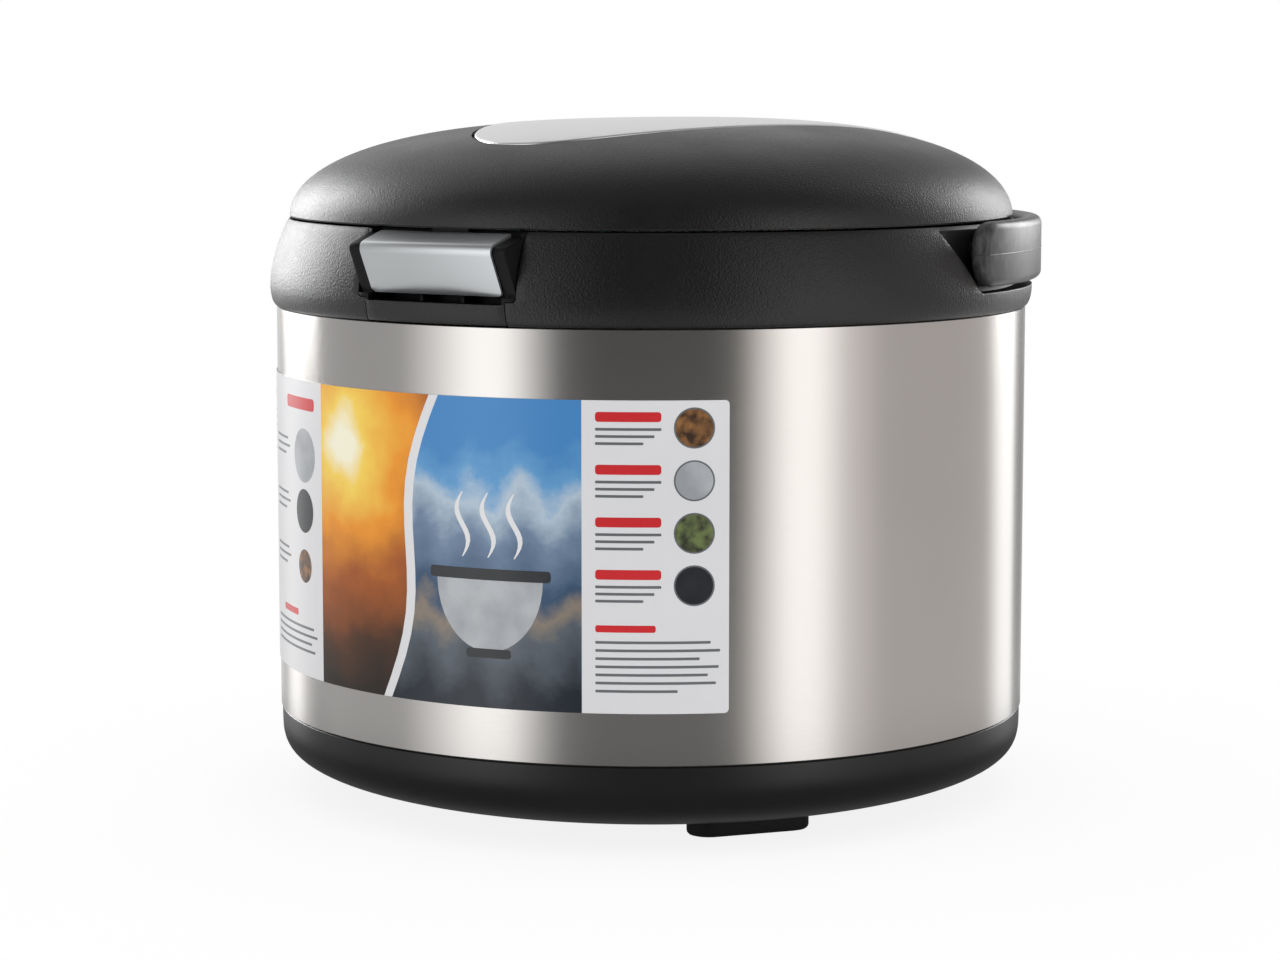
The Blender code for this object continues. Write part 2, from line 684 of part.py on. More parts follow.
def pot_lid():
    """Domed steel lid with a knob held by one screw."""
    edge = POT_RADIUS + POT_BEAD - CLEARANCE
    low = Z_RIM + CLEARANCE
    shares = [index / (POT_LID_POINTS - 1) for index in range(POT_LID_POINTS)]
    inner = [((edge - POT_LID_WALL) * share, low + POT_LID_SKIRT + POT_LID_RISE * (1.0 - share * share))
             for share in shares]
    outer = [(edge * share, height + POT_LID_WALL) for share, (_, height) in zip(shares, inner)]
    profile = outer + [(edge, low), (edge - POT_LID_WALL, low)] + list(reversed(inner))
    lid = place(turned("pot_lid", profile), "polished_steel")
    top = outer[0][1]
    knob_low = top + CLEARANCE
    knob_top = knob_low + KNOB_HEIGHT
    waist = knob_low + KNOB_NECK_HEIGHT
    profile = [(0.0, knob_top), (KNOB_RADIUS - KNOB_NECK_HEIGHT, knob_top),
               (KNOB_RADIUS, knob_top - KNOB_NECK_HEIGHT), (KNOB_RADIUS, waist + KNOB_NECK_HEIGHT),
               (KNOB_NECK_RADIUS, waist), (KNOB_NECK_RADIUS, knob_low), (0.0, knob_low)]
    knob = place(turned("pot_lid_knob", profile, segments=SMALL_SEGMENTS), "smooth_black")
    tip = knob_low + KNOB_HEIGHT / 2
    hole = SCREW_RADIUS + CLEARANCE
    cut(knob, rod("bore", (0.0, 0.0, low), (0.0, 0.0, tip + CLEARANCE), hole))
    cut(lid, rod("lid_hole", (0.0, 0.0, low), (0.0, 0.0, tip), hole))
    seat = top - POT_LID_WALL - CLEARANCE
    screw("pot_lid_screw", (0.0, 0.0, seat), (0.0, 0.0, 1.0), tip - seat, SCREW_RADIUS, SCREW_HEAD_RADIUS,
          KNOB_SCREW_HEAD)


def collar_radius(height):
    """Outer radius of the collar at a height."""
    bulge_level = Z_COLLAR + COLLAR_BULGE_HEIGHT
    foot = BODY_RADIUS - COLLAR_FOOT_SETBACK
    if height < bulge_level:
        drop = (bulge_level - height) / COLLAR_BULGE_HEIGHT
        return foot + (COLLAR_MAX_RADIUS - foot) * math.sqrt(max(0.0, 1.0 - drop * drop))
    rise = (height - bulge_level) / (Z_LID - bulge_level)
    return COLLAR_MAX_RADIUS - (COLLAR_MAX_RADIUS - COLLAR_TOP_RADIUS) * rise**COLLAR_POWER


def collar_side():
    """Outer side of the collar, from the deck down to the sleeve."""
    bulge = Z_COLLAR + COLLAR_BULGE_HEIGHT
    step = (bulge - Z_DECK) / COLLAR_SIDE_POINTS
    levels = [Z_DECK + step * index for index in range(COLLAR_SIDE_POINTS + 1)]
    turns = [math.pi / 2 * (index + 1) / COLLAR_FOOT_POINTS for index in range(COLLAR_FOOT_POINTS)]
    levels += [bulge - COLLAR_BULGE_HEIGHT * math.sin(turn) for turn in turns]
    return [(collar_radius(level), level) for level in levels]


def collar():
    """The collar with its channel for the handle and its slots for the latch and the hinge."""
    low = Z_COLLAR - COLLAR_SPIGOT
    ceiling = Z_DECK - COLLAR_DECK
    shelf = Z_LEDGE - COLLAR_DECK
    neck_low = Z_LEDGE - NECK_DEPTH
    step_wall = STEP_RADIUS + NECK_WALL
    neck_wall = NECK_RADIUS + NECK_WALL
    profile = [(STEP_RADIUS, Z_DECK)] + collar_side()
    profile += [(SPIGOT_RADIUS, Z_COLLAR), (SPIGOT_RADIUS, low), (SPIGOT_RADIUS - SPIGOT_WALL, low)]
    profile += [(CAVITY_RADIUS, Z_COLLAR), (CAVITY_RADIUS, ceiling), (step_wall, ceiling), (step_wall, shelf)]
    profile += [(neck_wall, shelf), (neck_wall, neck_low), (NECK_RADIUS, neck_low), (NECK_RADIUS, Z_LEDGE)]
    profile += [(STEP_RADIUS, Z_LEDGE)]
    ring = place(turned("collar", profile, closed=True), "textured_black")
    block_x = LUG_OUTER + NECK_WALL
    block_y = HINGE_Y - BARREL_RADIUS - BRACKET_BLOCK_DEPTH
    bracket_low = Z_DECK - BRACKET_HEIGHT - CLEARANCE
    join(ring, box("hinge_block", (-block_x, block_y, bracket_low - NECK_WALL),
                   (block_x, CAVITY_RADIUS + SHELL_WALL, Z_DECK - COLLAR_DECK / 2)))
    boss = CAVITY_RADIUS - PIVOT_BOSS_DEPTH
    for side in (-1.0, 1.0):
        join(ring, rod("pivot_boss", (side * boss, 0.0, Z_PIVOT),
                       (side * (CAVITY_RADIUS + COLLAR_WALL / 2), 0.0, Z_PIVOT), PIVOT_BOSS_RADIUS))
    cut(ring, channel_cutter())
    for side in (-1.0, 1.0):
        start = (side * (boss + PIVOT_CAP), 0.0, Z_PIVOT)
        cut(ring, rod("pivot_hole", start, (side * ARM_OUTER, 0.0, Z_PIVOT), PIVOT_RADIUS + CLEARANCE))
    high = Z_LID + OVERRUN
    front = HOUSING_FRONT_Y - OVERRUN
    cut(ring, box("recess_slot", (-RECESS_HALF_WIDTH, front, Z_RECESS),
                  (RECESS_HALF_WIDTH, HOUSING_BACK_Y, high)))
    cut(ring, box("tab_slot", (-TAB_HALF_WIDTH, front, Z_COLLAR - CLEARANCE),
                  (TAB_HALF_WIDTH, HOUSING_BACK_Y, Z_RECESS + OVERRUN)))
    slot_x = LUG_OUTER + CLEARANCE
    back = COLLAR_MAX_RADIUS + OVERRUN
    cut(ring, box("bracket_slot", (-slot_x, BRACKET_FACE, bracket_low), (slot_x, back, high)))
    for x in HINGE_SCREW_X:
        cut(ring, rod("screw_hole", (x, BRACKET_FACE - BRACKET_BLOCK_DEPTH / 2, Z_HINGE_SCREW),
                      (x, BODY_RADIUS, Z_HINGE_SCREW), LID_SCREW_RADIUS + CLEARANCE))


def channel_cutter():
    """The space round the back of the collar in which the handle lies."""
    outer = COLLAR_MAX_RADIUS + OVERRUN
    high = Z_LID + OVERRUN
    low = Z_HANDLE_LEDGE
    section = [(CHANNEL_RADIUS, high), (outer, high), (outer, low), (CHANNEL_RADIUS, low)]
    ring = turned("channel", section, closed=True)
    distance = HANDLE_WIDTH / 2 + SLANT_MARGIN

    def slanted(height):
        return (-(distance + (height - Z_PIVOT) * math.sin(SLANT_ANGLE)) / math.cos(SLANT_ANGLE), height)

    bottom = low - OVERRUN
    top = high + OVERRUN
    outline = [slanted(top), slanted(bottom), (outer + OVERRUN, bottom), (outer + OVERRUN, top)]
    keep_inside(ring, outline_solid("channel_side", outline, (outer + OVERRUN) * 2, side_matrix()))
    return ring


def half_side(radius, shoulder, grip):
    """One side of the right half of the bail, from the arm's end to the grip."""
    start = -math.asin((HANDLE_END + OVERRUN) / radius)
    end = math.acos(shoulder / radius)
    points = arc((0.0, 0.0), radius, start, end, max(3, round((end - start) / ARM_STEP) + 1))
    rounding = min(GRIP_ROUNDING, (grip - points[-1][1]) / 2)
    center = (shoulder - rounding, grip - rounding)
    return points + arc(center, rounding, 0.0, math.pi / 2, GRIP_ROUNDING_POINTS)


def bail_form():
    """Room that the bail is cut to, with the round ends of its arms, in (Y, Z)."""
    half = HANDLE_WIDTH / 2
    front = HANDLE_END_ROUNDING - HANDLE_END
    center = (front, half - HANDLE_END_ROUNDING)
    turn = arc(center, HANDLE_END_ROUNDING, math.pi, math.pi / 2, HANDLE_END_POINTS)
    upper = turn + [(front, half + OVERRUN), (GRIP_OUTER + OVERRUN, half + OVERRUN)]
    lower = [(along, -rise) for along, rise in reversed(upper)]
    outline = [(along, Z_PIVOT + rise) for along, rise in upper + lower]
    return outline_solid("bail_form", outline, (ARM_OUTER + OVERRUN) * 2, side_matrix())


def handle_pieces():
    """Bail folded back round the collar, and the two pins that it turns on."""
    outer = half_side(ARM_OUTER, GRIP_HALF_WIDTH, GRIP_OUTER)
    inner = half_side(ARM_INNER, GRIP_HALF_WIDTH - GRIP_SHOULDER, GRIP_INNER)
    outline = outer + mirrored(outer) + list(reversed(mirrored(inner))) + list(reversed(inner))
    bail = place(outline_solid("handle_bail", outline, HANDLE_WIDTH, level_matrix(Z_PIVOT)), "smooth_black")
    keep_inside(bail, bail_form())
    edge_bevel(bail, HANDLE_EDGE, 2)
    start = CAVITY_RADIUS - PIVOT_BOSS_DEPTH + PIVOT_CAP
    end = ARM_OUTER - PIVOT_CAP
    for side, name in ((1.0, "right"), (-1.0, "left")):
        cut(bail, rod("pivot_hole", (side * CHANNEL_RADIUS, 0.0, Z_PIVOT), (side * end, 0.0, Z_PIVOT),
                      PIVOT_RADIUS + CLEARANCE))
        place(rod("handle_pivot_" + name, (side * (start + CLEARANCE), 0.0, Z_PIVOT),
                  (side * (end - CLEARANCE), 0.0, Z_PIVOT), PIVOT_RADIUS), "screw_steel")
    carry_on([bail], "handle_swing", (0.0, 0.0, Z_PIVOT))


def crown_profile(count, inset=0.0, margin=0.0):
    """The lid's crown from its top down to its edge, set in by a wall or out by a margin."""
    radius = LID_RADIUS - inset + margin
    height = CROWN_HEIGHT - inset + margin
    points = [(0.0, Z_LID + height)]
    for index in range(1, count):
        angle = math.pi / 2 * index / (count - 1)
        across = radius * math.sin(angle) ** (2.0 / CROWN_RADIUS_POWER)
        points.append((across, Z_LID + height * max(0.0, math.cos(angle)) ** (2.0 / CROWN_HEIGHT_POWER)))
    return points


def crown_height(radius):
    """Outer height of the crown at a radius, without its lean."""
    share = radius / LID_RADIUS
    return Z_LID + CROWN_HEIGHT * (1.0 - share**CROWN_RADIUS_POWER) ** (1.0 / CROWN_HEIGHT_POWER)


def crown_shell(name, outer, inner):
    """A dome between two profiles, leaning as the lid does: higher at the back."""
    item = turned(name, outer + list(reversed(inner)))
    for vertex in item.data.vertices:
        share = min(1.0, max(0.0, (vertex.co.z - Z_LID) / CROWN_HEIGHT))
        vertex.co.z += CROWN_LEAN * share * vertex.co.y / LID_RADIUS
    return item


def grown(outline, margin):
    """An outline that runs counterclockwise, with each side set out by a margin."""
    points = [Vector(point) for point in outline]
    moved = []
    for before, point, after in zip(points[-1:] + points[:-1], points, points[1:] + points[:1]):
        sides = [Vector((side.y, -side.x)).normalized() for side in (point - before, after - point)]
        out = (sides[0] + sides[1]).normalized()
        moved.append(tuple(point + out * (margin / out.dot(sides[0]))))
    return moved


def inlay_half_width(along):
    """Half width of the plate on the lid at a distance behind its tip."""
    return LID_RADIUS * INLAY_SPREAD_SHARE * (along / LID_RADIUS) ** INLAY_POWER


def inlay_outline(margin):
    """Plate on the lid: flanks that spread from a round tip at the front, and a round back."""
    tip_y = -LID_RADIUS * INLAY_TIP_SHARE
    back = LID_RADIUS * INLAY_BACK_SHARE
    corner_y = back / 2
    for _ in range(INLAY_CORNER_STEPS):
        corner_y = math.sqrt(back * back - inlay_half_width(corner_y - tip_y) ** 2)
    right = []
    for index in range(INLAY_FLANK_POINTS):
        share = (index / (INLAY_FLANK_POINTS - 1)) ** INLAY_SPACING_POWER
        right.append((inlay_half_width((corner_y - tip_y) * share), tip_y + (corner_y - tip_y) * share))
    start = math.atan2(corner_y, right[-1][0])
    right += arc((0.0, 0.0), back, start, math.pi / 2, INLAY_BACK_POINTS)[1:]
    return grown(right[:-1] + mirrored(right[1:]), margin)


def lid_cover():
    """Outer cover of the lid, with a socket for its plate."""
    outer = crown_profile(CROWN_POINTS)[:-1] + [(LID_RADIUS, Z_LID_EDGE)]
    wall = LID_RADIUS - LID_WALL
    inner = crown_profile(CROWN_INNER_POINTS, inset=LID_WALL)[:-1]
    inner += [(wall, Z_INNER_FLANGE + LID_REBATE), (wall, Z_LID_EDGE)]
    cover = place(crown_shell("lid_cover", outer, inner), "textured_black")
    span = CROWN_HEIGHT + OVERRUN * 2
    matrix = level_matrix(Z_LID + CROWN_HEIGHT / 2)
    bed = crown_profile(CROWN_POINTS, inset=INLAY_THICKNESS + CLEARANCE)
    socket = crown_shell("inlay_socket", crown_profile(CROWN_POINTS, margin=OVERRUN), bed)
    keep_inside(socket, outline_solid("socket_outline", inlay_outline(CLEARANCE), span * 2, matrix))
    cut(cover, socket)
    plate_low = crown_profile(CROWN_POINTS, inset=INLAY_THICKNESS)
    plate_high = crown_profile(CROWN_POINTS, margin=INLAY_RISE)
    plate = place(crown_shell("lid_inlay", plate_high, plate_low), "silver_paint")
    keep_inside(plate, outline_solid("plate_outline", inlay_outline(0.0), span * 2, matrix))
    return cover, plate


def lid_pieces():
    """Lid cover with its plate, foam, inner cover, gasket, catch and screws."""
    cover, plate = lid_cover()
    inner_cover = lid_inner_cover()
    moving = [cover, plate, inner_cover, lid_gasket(), lid_foam()]
    circle = INNER_COVER_RADIUS - LID_SCREW_INSET
    tip = Z_SCREW_SEAT + LID_SCREW_LENGTH
    for index, angle in enumerate(LID_SCREW_ANGLES):
        boss = polar(circle, angle, Z_INNER_FLANGE + CLEARANCE)
        join(cover, rod("boss", boss, polar(circle, angle, tip + LID_WALL / 2), LID_BOSS_RADIUS))
        cut(cover, rod("pilot", polar(circle, angle, Z_LID), polar(circle, angle, tip + CLEARANCE),
                       LID_SCREW_RADIUS + CLEARANCE))
        moving.append(lid_screw(f"lid_screw_{index + 1}", inner_cover, polar(circle, angle, 0.0), tip))
    moving += catch_pieces(inner_cover)
    knuckle(cover)
    carry_on(moving, "lid_hinge", (0.0, HINGE_Y, Z_HINGE))


def lid_screw(name, inner_cover, spot, tip):
    """A screw up through the inner cover, with the recess for its head."""
    floor = Vector((spot.x, spot.y, Z_LID))
    seat = Vector((spot.x, spot.y, Z_SCREW_SEAT))
    above = Vector((spot.x, spot.y, Z_INNER_FLANGE + OVERRUN))
    cut(inner_cover, rod("head_hole", floor, seat, LID_SCREW_HEAD_RADIUS + CLEARANCE))
    cut(inner_cover, rod("hole", floor, above, LID_SCREW_RADIUS + CLEARANCE))
    seat.z -= CLEARANCE
    return screw(name, seat, (0.0, 0.0, 1.0), tip - seat.z, LID_SCREW_RADIUS, LID_SCREW_HEAD_RADIUS,
                 LID_SCREW_HEAD_HEIGHT - CLEARANCE)


def dish_line(radius, lift):
    """Line across the hollow of the inner cover, from its middle out to a radius."""
    shares = [index / (DISH_POINTS - 1) for index in range(DISH_POINTS)]
    edge = Z_LID_EDGE - DISH_DROP + lift
    return [(radius * share, edge + DISH_RISE * (1.0 - share**DISH_POWER)) for share in shares]


def lid_inner_cover():
    """White inner cover, hollowed over the pot, with a groove for the gasket."""
    groove_in = GASKET_INNER - CLEARANCE
    groove_out = GASKET_OUTER + CLEARANCE
    rim = groove_in - GROOVE_WALL
    under = dish_line(rim, 0.0)
    profile = dish_line(rim, INNER_COVER_WALL)
    profile += [(rim, Z_GROOVE_ROOF), (GROOVE_OUTER, Z_GROOVE_ROOF), (GROOVE_OUTER, Z_INNER_FLANGE)]
    profile += [(INNER_COVER_RADIUS, Z_INNER_FLANGE), (INNER_COVER_RADIUS, Z_LID_EDGE)]
    ceiling = Z_GROOVE_ROOF - GROOVE_WALL
    profile += [(groove_out, Z_LID_EDGE), (groove_out, ceiling)]
    profile += [(groove_in, ceiling), (groove_in, under[-1][1])]
    return place(turned("lid_inner_cover", profile + list(reversed(under))), "white_plastic")


def lid_gasket():
    """Silicone ring that presses on the liner's flange."""
    low = Z_FLANGE + CLEARANCE
    high = low + GASKET_HEIGHT
    shoulder = low + GASKET_WIDTH / 2
    middle = (GASKET_INNER + GASKET_OUTER) / 2
    section = [(GASKET_INNER, high), (GASKET_OUTER, high), (GASKET_OUTER, shoulder), (middle, low),
               (GASKET_INNER, shoulder)]
    return place(turned("lid_gasket", section, closed=True), "silicone")


def lid_foam():
    """Foam that fills the crown above the inner cover."""
    reach = LID_RADIUS * LID_FOAM_RADIUS_SHARE
    radii = [reach * index / (LID_FOAM_POINTS - 1) for index in range(LID_FOAM_POINTS)]
    top = [(radius, crown_height(radius) - LID_WALL - LID_FOAM_GAP) for radius in radii]
    roof = Z_GROOVE_ROOF + CLEARANCE
    low = dish_line(GASKET_INNER - GROOVE_WALL - CLEARANCE * 2, INNER_COVER_WALL + CLEARANCE)
    profile = top + [(reach, roof), (low[-1][0], roof)] + list(reversed(low))
    return place(turned("lid_insulation", profile), "foam")


def catch_pieces(inner_cover):
    """Tongue that hangs from the lid into the latch housing, with its two screws."""
    foot_low = Z_INNER_FLANGE + CLEARANCE
    foot_high = foot_low + CATCH_FOOT_WALL
    front = CATCH_FRONT_Y
    catch = place(box("lid_catch", (-CATCH_HALF_WIDTH, front, Z_LID - CATCH_DROP),
                      (CATCH_HALF_WIDTH, CATCH_BACK_Y, foot_high)), "screw_steel")
    foot_back = -GROOVE_OUTER - CLEARANCE
    join(catch, box("catch_foot", (-CATCH_FOOT_HALF_WIDTH, front + CLEARANCE, foot_low),
                    (CATCH_FOOT_HALF_WIDTH, foot_back, foot_high)))
    slot = CATCH_HALF_WIDTH + CLEARANCE
    slot_back = CATCH_BACK_Y + CLEARANCE
    cut(inner_cover, box("catch_slot", (-slot, front - CLEARANCE, Z_LID), (slot, slot_back, foot_low)))
    pieces = [catch]
    for side, name in ((1.0, "right"), (-1.0, "left")):
        spot = Vector((side * CATCH_SCREW_X, (front + foot_back) / 2, 0.0))
        hole_low = Vector((spot.x, spot.y, Z_LID))
        hole_high = Vector((spot.x, spot.y, foot_high + OVERRUN))
        cut(catch, rod("catch_hole", hole_low, hole_high, LID_SCREW_RADIUS + CLEARANCE))
        pieces.append(lid_screw("catch_screw_" + name, inner_cover, spot, foot_high + LID_SCREW_HEAD_HEIGHT))
    return pieces


def hinge_rod(name, left, right, radius):
    """A round rod along the lid's hinge axis."""
    return rod(name, (left, HINGE_Y, Z_HINGE), (right, HINGE_Y, Z_HINGE), radius)


def latch_rod(name, left, right, radius):
    """A round rod along the latch's axis."""
    return rod(name, (left, LATCH_PIN_Y, Z_LATCH_PIN), (right, LATCH_PIN_Y, Z_LATCH_PIN), radius)


def knuckle(cover):
    """Scoop in the back of the lid cover and the barrel that turns on the hinge pin."""
    wide = LUG_OUTER + BARREL_MARGIN
    half = KNUCKLE_HALF_WIDTH
    cut(cover, hinge_rod("scoop", -wide, wide, BARREL_RADIUS + BARREL_MARGIN))
    join(cover, hinge_rod("barrel", -half, half, BARREL_RADIUS))
    front = HINGE_Y - BARREL_RADIUS - BARREL_MARGIN - LID_WALL / 2
    back = HINGE_Y - BARREL_RADIUS / 2
    rise = BARREL_RADIUS * WEB_SHARE
    join(cover, box("web", (-half, front, Z_HINGE - rise), (half, back, Z_HINGE + rise)))
    cut(cover, hinge_rod("pin_hole", -wide, wide, HINGE_PIN_RADIUS + CLEARANCE))


def hinge_pieces():
    """Bracket on the collar with two lugs, its screws and the hinge pin."""
    face = BRACKET_FACE + CLEARANCE
    back = face + BRACKET_DEPTH
    top = Z_DECK - CLEARANCE
    bracket = place(box("hinge_bracket", (-LUG_OUTER, face, Z_DECK - BRACKET_HEIGHT), (LUG_OUTER, back, top)),
                    "textured_black")
    inner = KNUCKLE_HALF_WIDTH + KNUCKLE_GAP
    for low, high in ((-LUG_OUTER, -inner), (inner, LUG_OUTER)):
        join(bracket, box("lug", (low, face, top - OVERRUN), (high, HINGE_Y + BARREL_RADIUS, Z_HINGE)))
        join(bracket, hinge_rod("lug_barrel", low, high, BARREL_RADIUS))
    end = LUG_OUTER - BARREL_MARGIN
    cut(bracket, hinge_rod("pin_hole", -end, end, HINGE_PIN_RADIUS + CLEARANCE))
    pin_end = end - CLEARANCE
    place(hinge_rod("hinge_pin", -pin_end, pin_end, HINGE_PIN_RADIUS), "screw_steel")
    seat = back - LID_SCREW_HEAD_HEIGHT
    length = seat - BRACKET_FACE + BRACKET_BLOCK_DEPTH / 2 - CLEARANCE
    for name, x in zip(("left", "right"), HINGE_SCREW_X):
        low = (x, seat - CLEARANCE, Z_HINGE_SCREW)
        high = (x, back + OVERRUN, Z_HINGE_SCREW)
        cut(bracket, rod("head_hole", low, high, LID_SCREW_HEAD_RADIUS + CLEARANCE))
        cut(bracket, rod("hole", (x, BRACKET_FACE, Z_HINGE_SCREW), high, LID_SCREW_RADIUS + CLEARANCE))
        screw("hinge_screw_" + name, (x, seat, Z_HINGE_SCREW), (0.0, -1.0, 0.0), length,
              LID_SCREW_RADIUS, LID_SCREW_HEAD_RADIUS, LID_SCREW_HEAD_HEIGHT)


def latch_face(inset):
    """Section of the latch's folded face in (Y, Z), from its top edge to its foot, set in by a wall."""
    top = Vector((LATCH_TOP_Y, Z_LATCH_TOP))
    bend = Vector((LATCH_BEND_Y, Z_LATCH_BEND))
    foot = Vector((LATCH_FOOT_Y, Z_LATCH_FOOT))
    upper = (top - bend).normalized()
    lower = (foot - bend).normalized()
    middle = (upper + lower).normalized()
    upper_out = Vector((-upper.y, upper.x))
    lower_out = Vector((lower.y, -lower.x))
    center = bend + middle * LATCH_BEND_RADIUS / abs(middle.dot(upper_out))
    first = math.atan2(upper_out.y, upper_out.x)
    last = math.atan2(lower_out.y, lower_out.x) % math.tau
    fold = arc(center, LATCH_BEND_RADIUS - inset, first, last, LATCH_BEND_POINTS)
    return [tuple(top - upper_out * inset)] + fold + [tuple(foot - lower_out * inset)]


def latch_pieces():
    """Lever with its silver cover, the pin that it turns on and the spring behind it."""
    width = LATCH_HALF_WIDTH * 2
    skin = latch_face(0.0) + list(reversed(latch_face(LATCH_COVER_WALL)))
    cover = place(outline_solid("latch_cover", skin, width, side_matrix()), "silver_paint")
    face = latch_face(LATCH_COVER_WALL + CLEARANCE)
    top_y, top_z = face[0]
    low = Z_LATCH_FOOT + LEVER_FOOT_RISE
    share = (low - face[-2][1]) / (face[-1][1] - face[-2][1])
    low_y = face[-2][0] + (face[-1][0] - face[-2][0]) * share
    section = face[:-1] + [(low_y, low), (LEVER_BACK_Y, low), (LEVER_BACK_Y, Z_LATCH_PIN)]
    section.append((top_y, top_z - LEVER_TOP_LIP))
    lever = place(outline_solid("latch_lever", section, width - CLEARANCE * 2, side_matrix()), "smooth_black")
    join(lever, box("hook", (-HOOK_HALF_WIDTH, LATCH_PIN_Y, Z_LATCH_PIN - HOOK_HEIGHT),
                    (HOOK_HALF_WIDTH, CATCH_FRONT_Y - HOOK_MARGIN, Z_LATCH_PIN)))
    join(lever, rod("lever_peg", (0.0, LEVER_BACK_Y - CLEARANCE, Z_SPRING),
                    (0.0, LEVER_BACK_Y + SPRING_PEG_LENGTH, Z_SPRING), SPRING_PEG_RADIUS))
    end = LATCH_HALF_WIDTH + EAR_GAP + EAR_THICKNESS
    cut(lever, latch_rod("pin_hole", -end, end, LATCH_PIN_RADIUS + CLEARANCE))
    pin_end = end - CLEARANCE * 2
    place(latch_rod("latch_pin", -pin_end, pin_end, LATCH_PIN_RADIUS), "screw_steel")
    latch_spring()
    carry_on([cover, lever], "latch_press", (0.0, LATCH_PIN_Y, Z_LATCH_PIN))


def latch_spring():
    """Compression spring between the back of the housing and the foot of the lever."""
    start = LEVER_BACK_Y + CLEARANCE + SPRING_WIRE
    end = RECESS_BACK_Y - CLEARANCE - SPRING_WIRE
    total = SPRING_TURNS * SPRING_TURN_POINTS
    points = []
    for index in range(total + 1):
        angle = math.tau * index / SPRING_TURN_POINTS
        points.append((SPRING_COIL_RADIUS * math.cos(angle), start + (end - start) * index / total,
                       Z_SPRING + SPRING_COIL_RADIUS * math.sin(angle)))
    place(tube("latch_spring", points, SPRING_WIRE, 1), "screw_steel")


def latch_housing():
    """Insert in the front of the collar: flush tab, recess, ears for the pin and cell ribs."""
    wide = RECESS_HALF_WIDTH - CLEARANCE
    tab = TAB_HALF_WIDTH - CLEARANCE
    back = HOUSING_BACK_Y - CLEARANCE
    floor = Z_RECESS + CLEARANCE
    front = HOUSING_FRONT_Y - OVERRUN
    housing = place(box("latch_housing", (-wide, HOUSING_FRONT_Y, floor), (wide, back, Z_DECK - CLEARANCE)),
                    "textured_black")
    join(housing, box("tab_block", (-tab, HOUSING_FRONT_Y, Z_COLLAR + CLEARANCE),
                      (tab, back, floor + OVERRUN)))
    side = collar_side()
    keep_inside(housing, turned("collar_form", [(0.0, side[0][1])] + side + [(0.0, side[-1][1])]))
    high = Z_LID + OVERRUN
    recess_low = floor + HOUSING_FLOOR_WALL
    pocket = wide - HOUSING_WALL
    cut(housing, box("recess", (-pocket, front, recess_low), (pocket, RECESS_BACK_Y, high)))
    cut(housing, box("wings", (-wide - OVERRUN, front, recess_low), (wide + OVERRUN, -CAVITY_RADIUS, high)))
    mouth = LATCH_HALF_WIDTH + MOUTH_GAP
    cut(housing, box("mouth", (-mouth, front, Z_LID - TAB_DROP), (mouth, RECESS_BACK_Y, high)))
    tab_inner = -math.sqrt((BODY_RADIUS - TAB_WALL) ** 2 - TAB_HALF_WIDTH**2)
    cell_floor = Z_LID - HOUSING_FLOOR_DROP
    cells = mouth - EAR_GAP
    cut(housing, box("cells", (-cells, tab_inner, cell_floor), (cells, RECESS_BACK_Y, high)))
    for x in (-CELL_RIB_X, CELL_RIB_X):
        join(housing, box("rib", (x - CELL_RIB_WALL / 2, tab_inner - CLEARANCE, cell_floor - CLEARANCE),
                          (x + CELL_RIB_WALL / 2, RECESS_BACK_Y + CLEARANCE, Z_LATCH_FOOT - CELL_RIB_MARGIN)))
    ear = LATCH_HALF_WIDTH + EAR_GAP
    ear_out = ear + EAR_THICKNESS
    for left, right in ((-ear_out, -ear), (ear, ear_out)):
        join(housing, latch_rod("ear", left, right, EAR_RADIUS))
        join(housing, box("ear_arm", (left, LATCH_PIN_Y, Z_LATCH_PIN - EAR_RADIUS),
                          (right, RECESS_BACK_Y + CLEARANCE, Z_LATCH_PIN + EAR_RADIUS * EAR_ARM_SHARE)))
    join(housing, rod("housing_peg", (0.0, RECESS_BACK_Y - SPRING_PEG_LENGTH, Z_SPRING),
                      (0.0, RECESS_BACK_Y + CLEARANCE, Z_SPRING), SPRING_PEG_RADIUS))
    end = ear_out - CLEARANCE
    cut(housing, latch_rod("pin_hole", -end, end, LATCH_PIN_RADIUS + CLEARANCE))


def label():
    """Printed film round the front of the sleeve."""
    inner = BODY_RADIUS + CLEARANCE
    start = math.radians(LABEL_LEFT) - math.pi / 2
    end = math.radians(LABEL_RIGHT) - math.pi / 2
    outline = arc((0.0, 0.0), inner + LABEL_FILM, start, end, LABEL_POINTS)
    outline += arc((0.0, 0.0), inner, end, start, LABEL_POINTS)
    middle = Z_SEAM + LABEL_BOTTOM + LABEL_HEIGHT / 2
    place(outline_solid("label", outline, LABEL_HEIGHT, level_matrix(middle)), "printed_film")


def main():
    """Build every piece of the cooker."""
    reset_scene()
    base_pieces()
    body_pieces()
    pot_pieces()
    collar()
    hinge_pieces()
    latch_housing()
    latch_pieces()
    handle_pieces()
    lid_pieces()
    label()


main()
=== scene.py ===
"""Looks of the thermal cooker: fine shapes, finishes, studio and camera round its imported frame."""
import logging
import math
from collections.abc import Callable
from dataclasses import dataclass
from enum import Enum

import bmesh
import bpy
from bmesh.types import BMesh
from bpy.types import ID, Material, Mesh, Node, NodeSocket, NodeTree, Object, World
from mathutils import Matrix, Vector

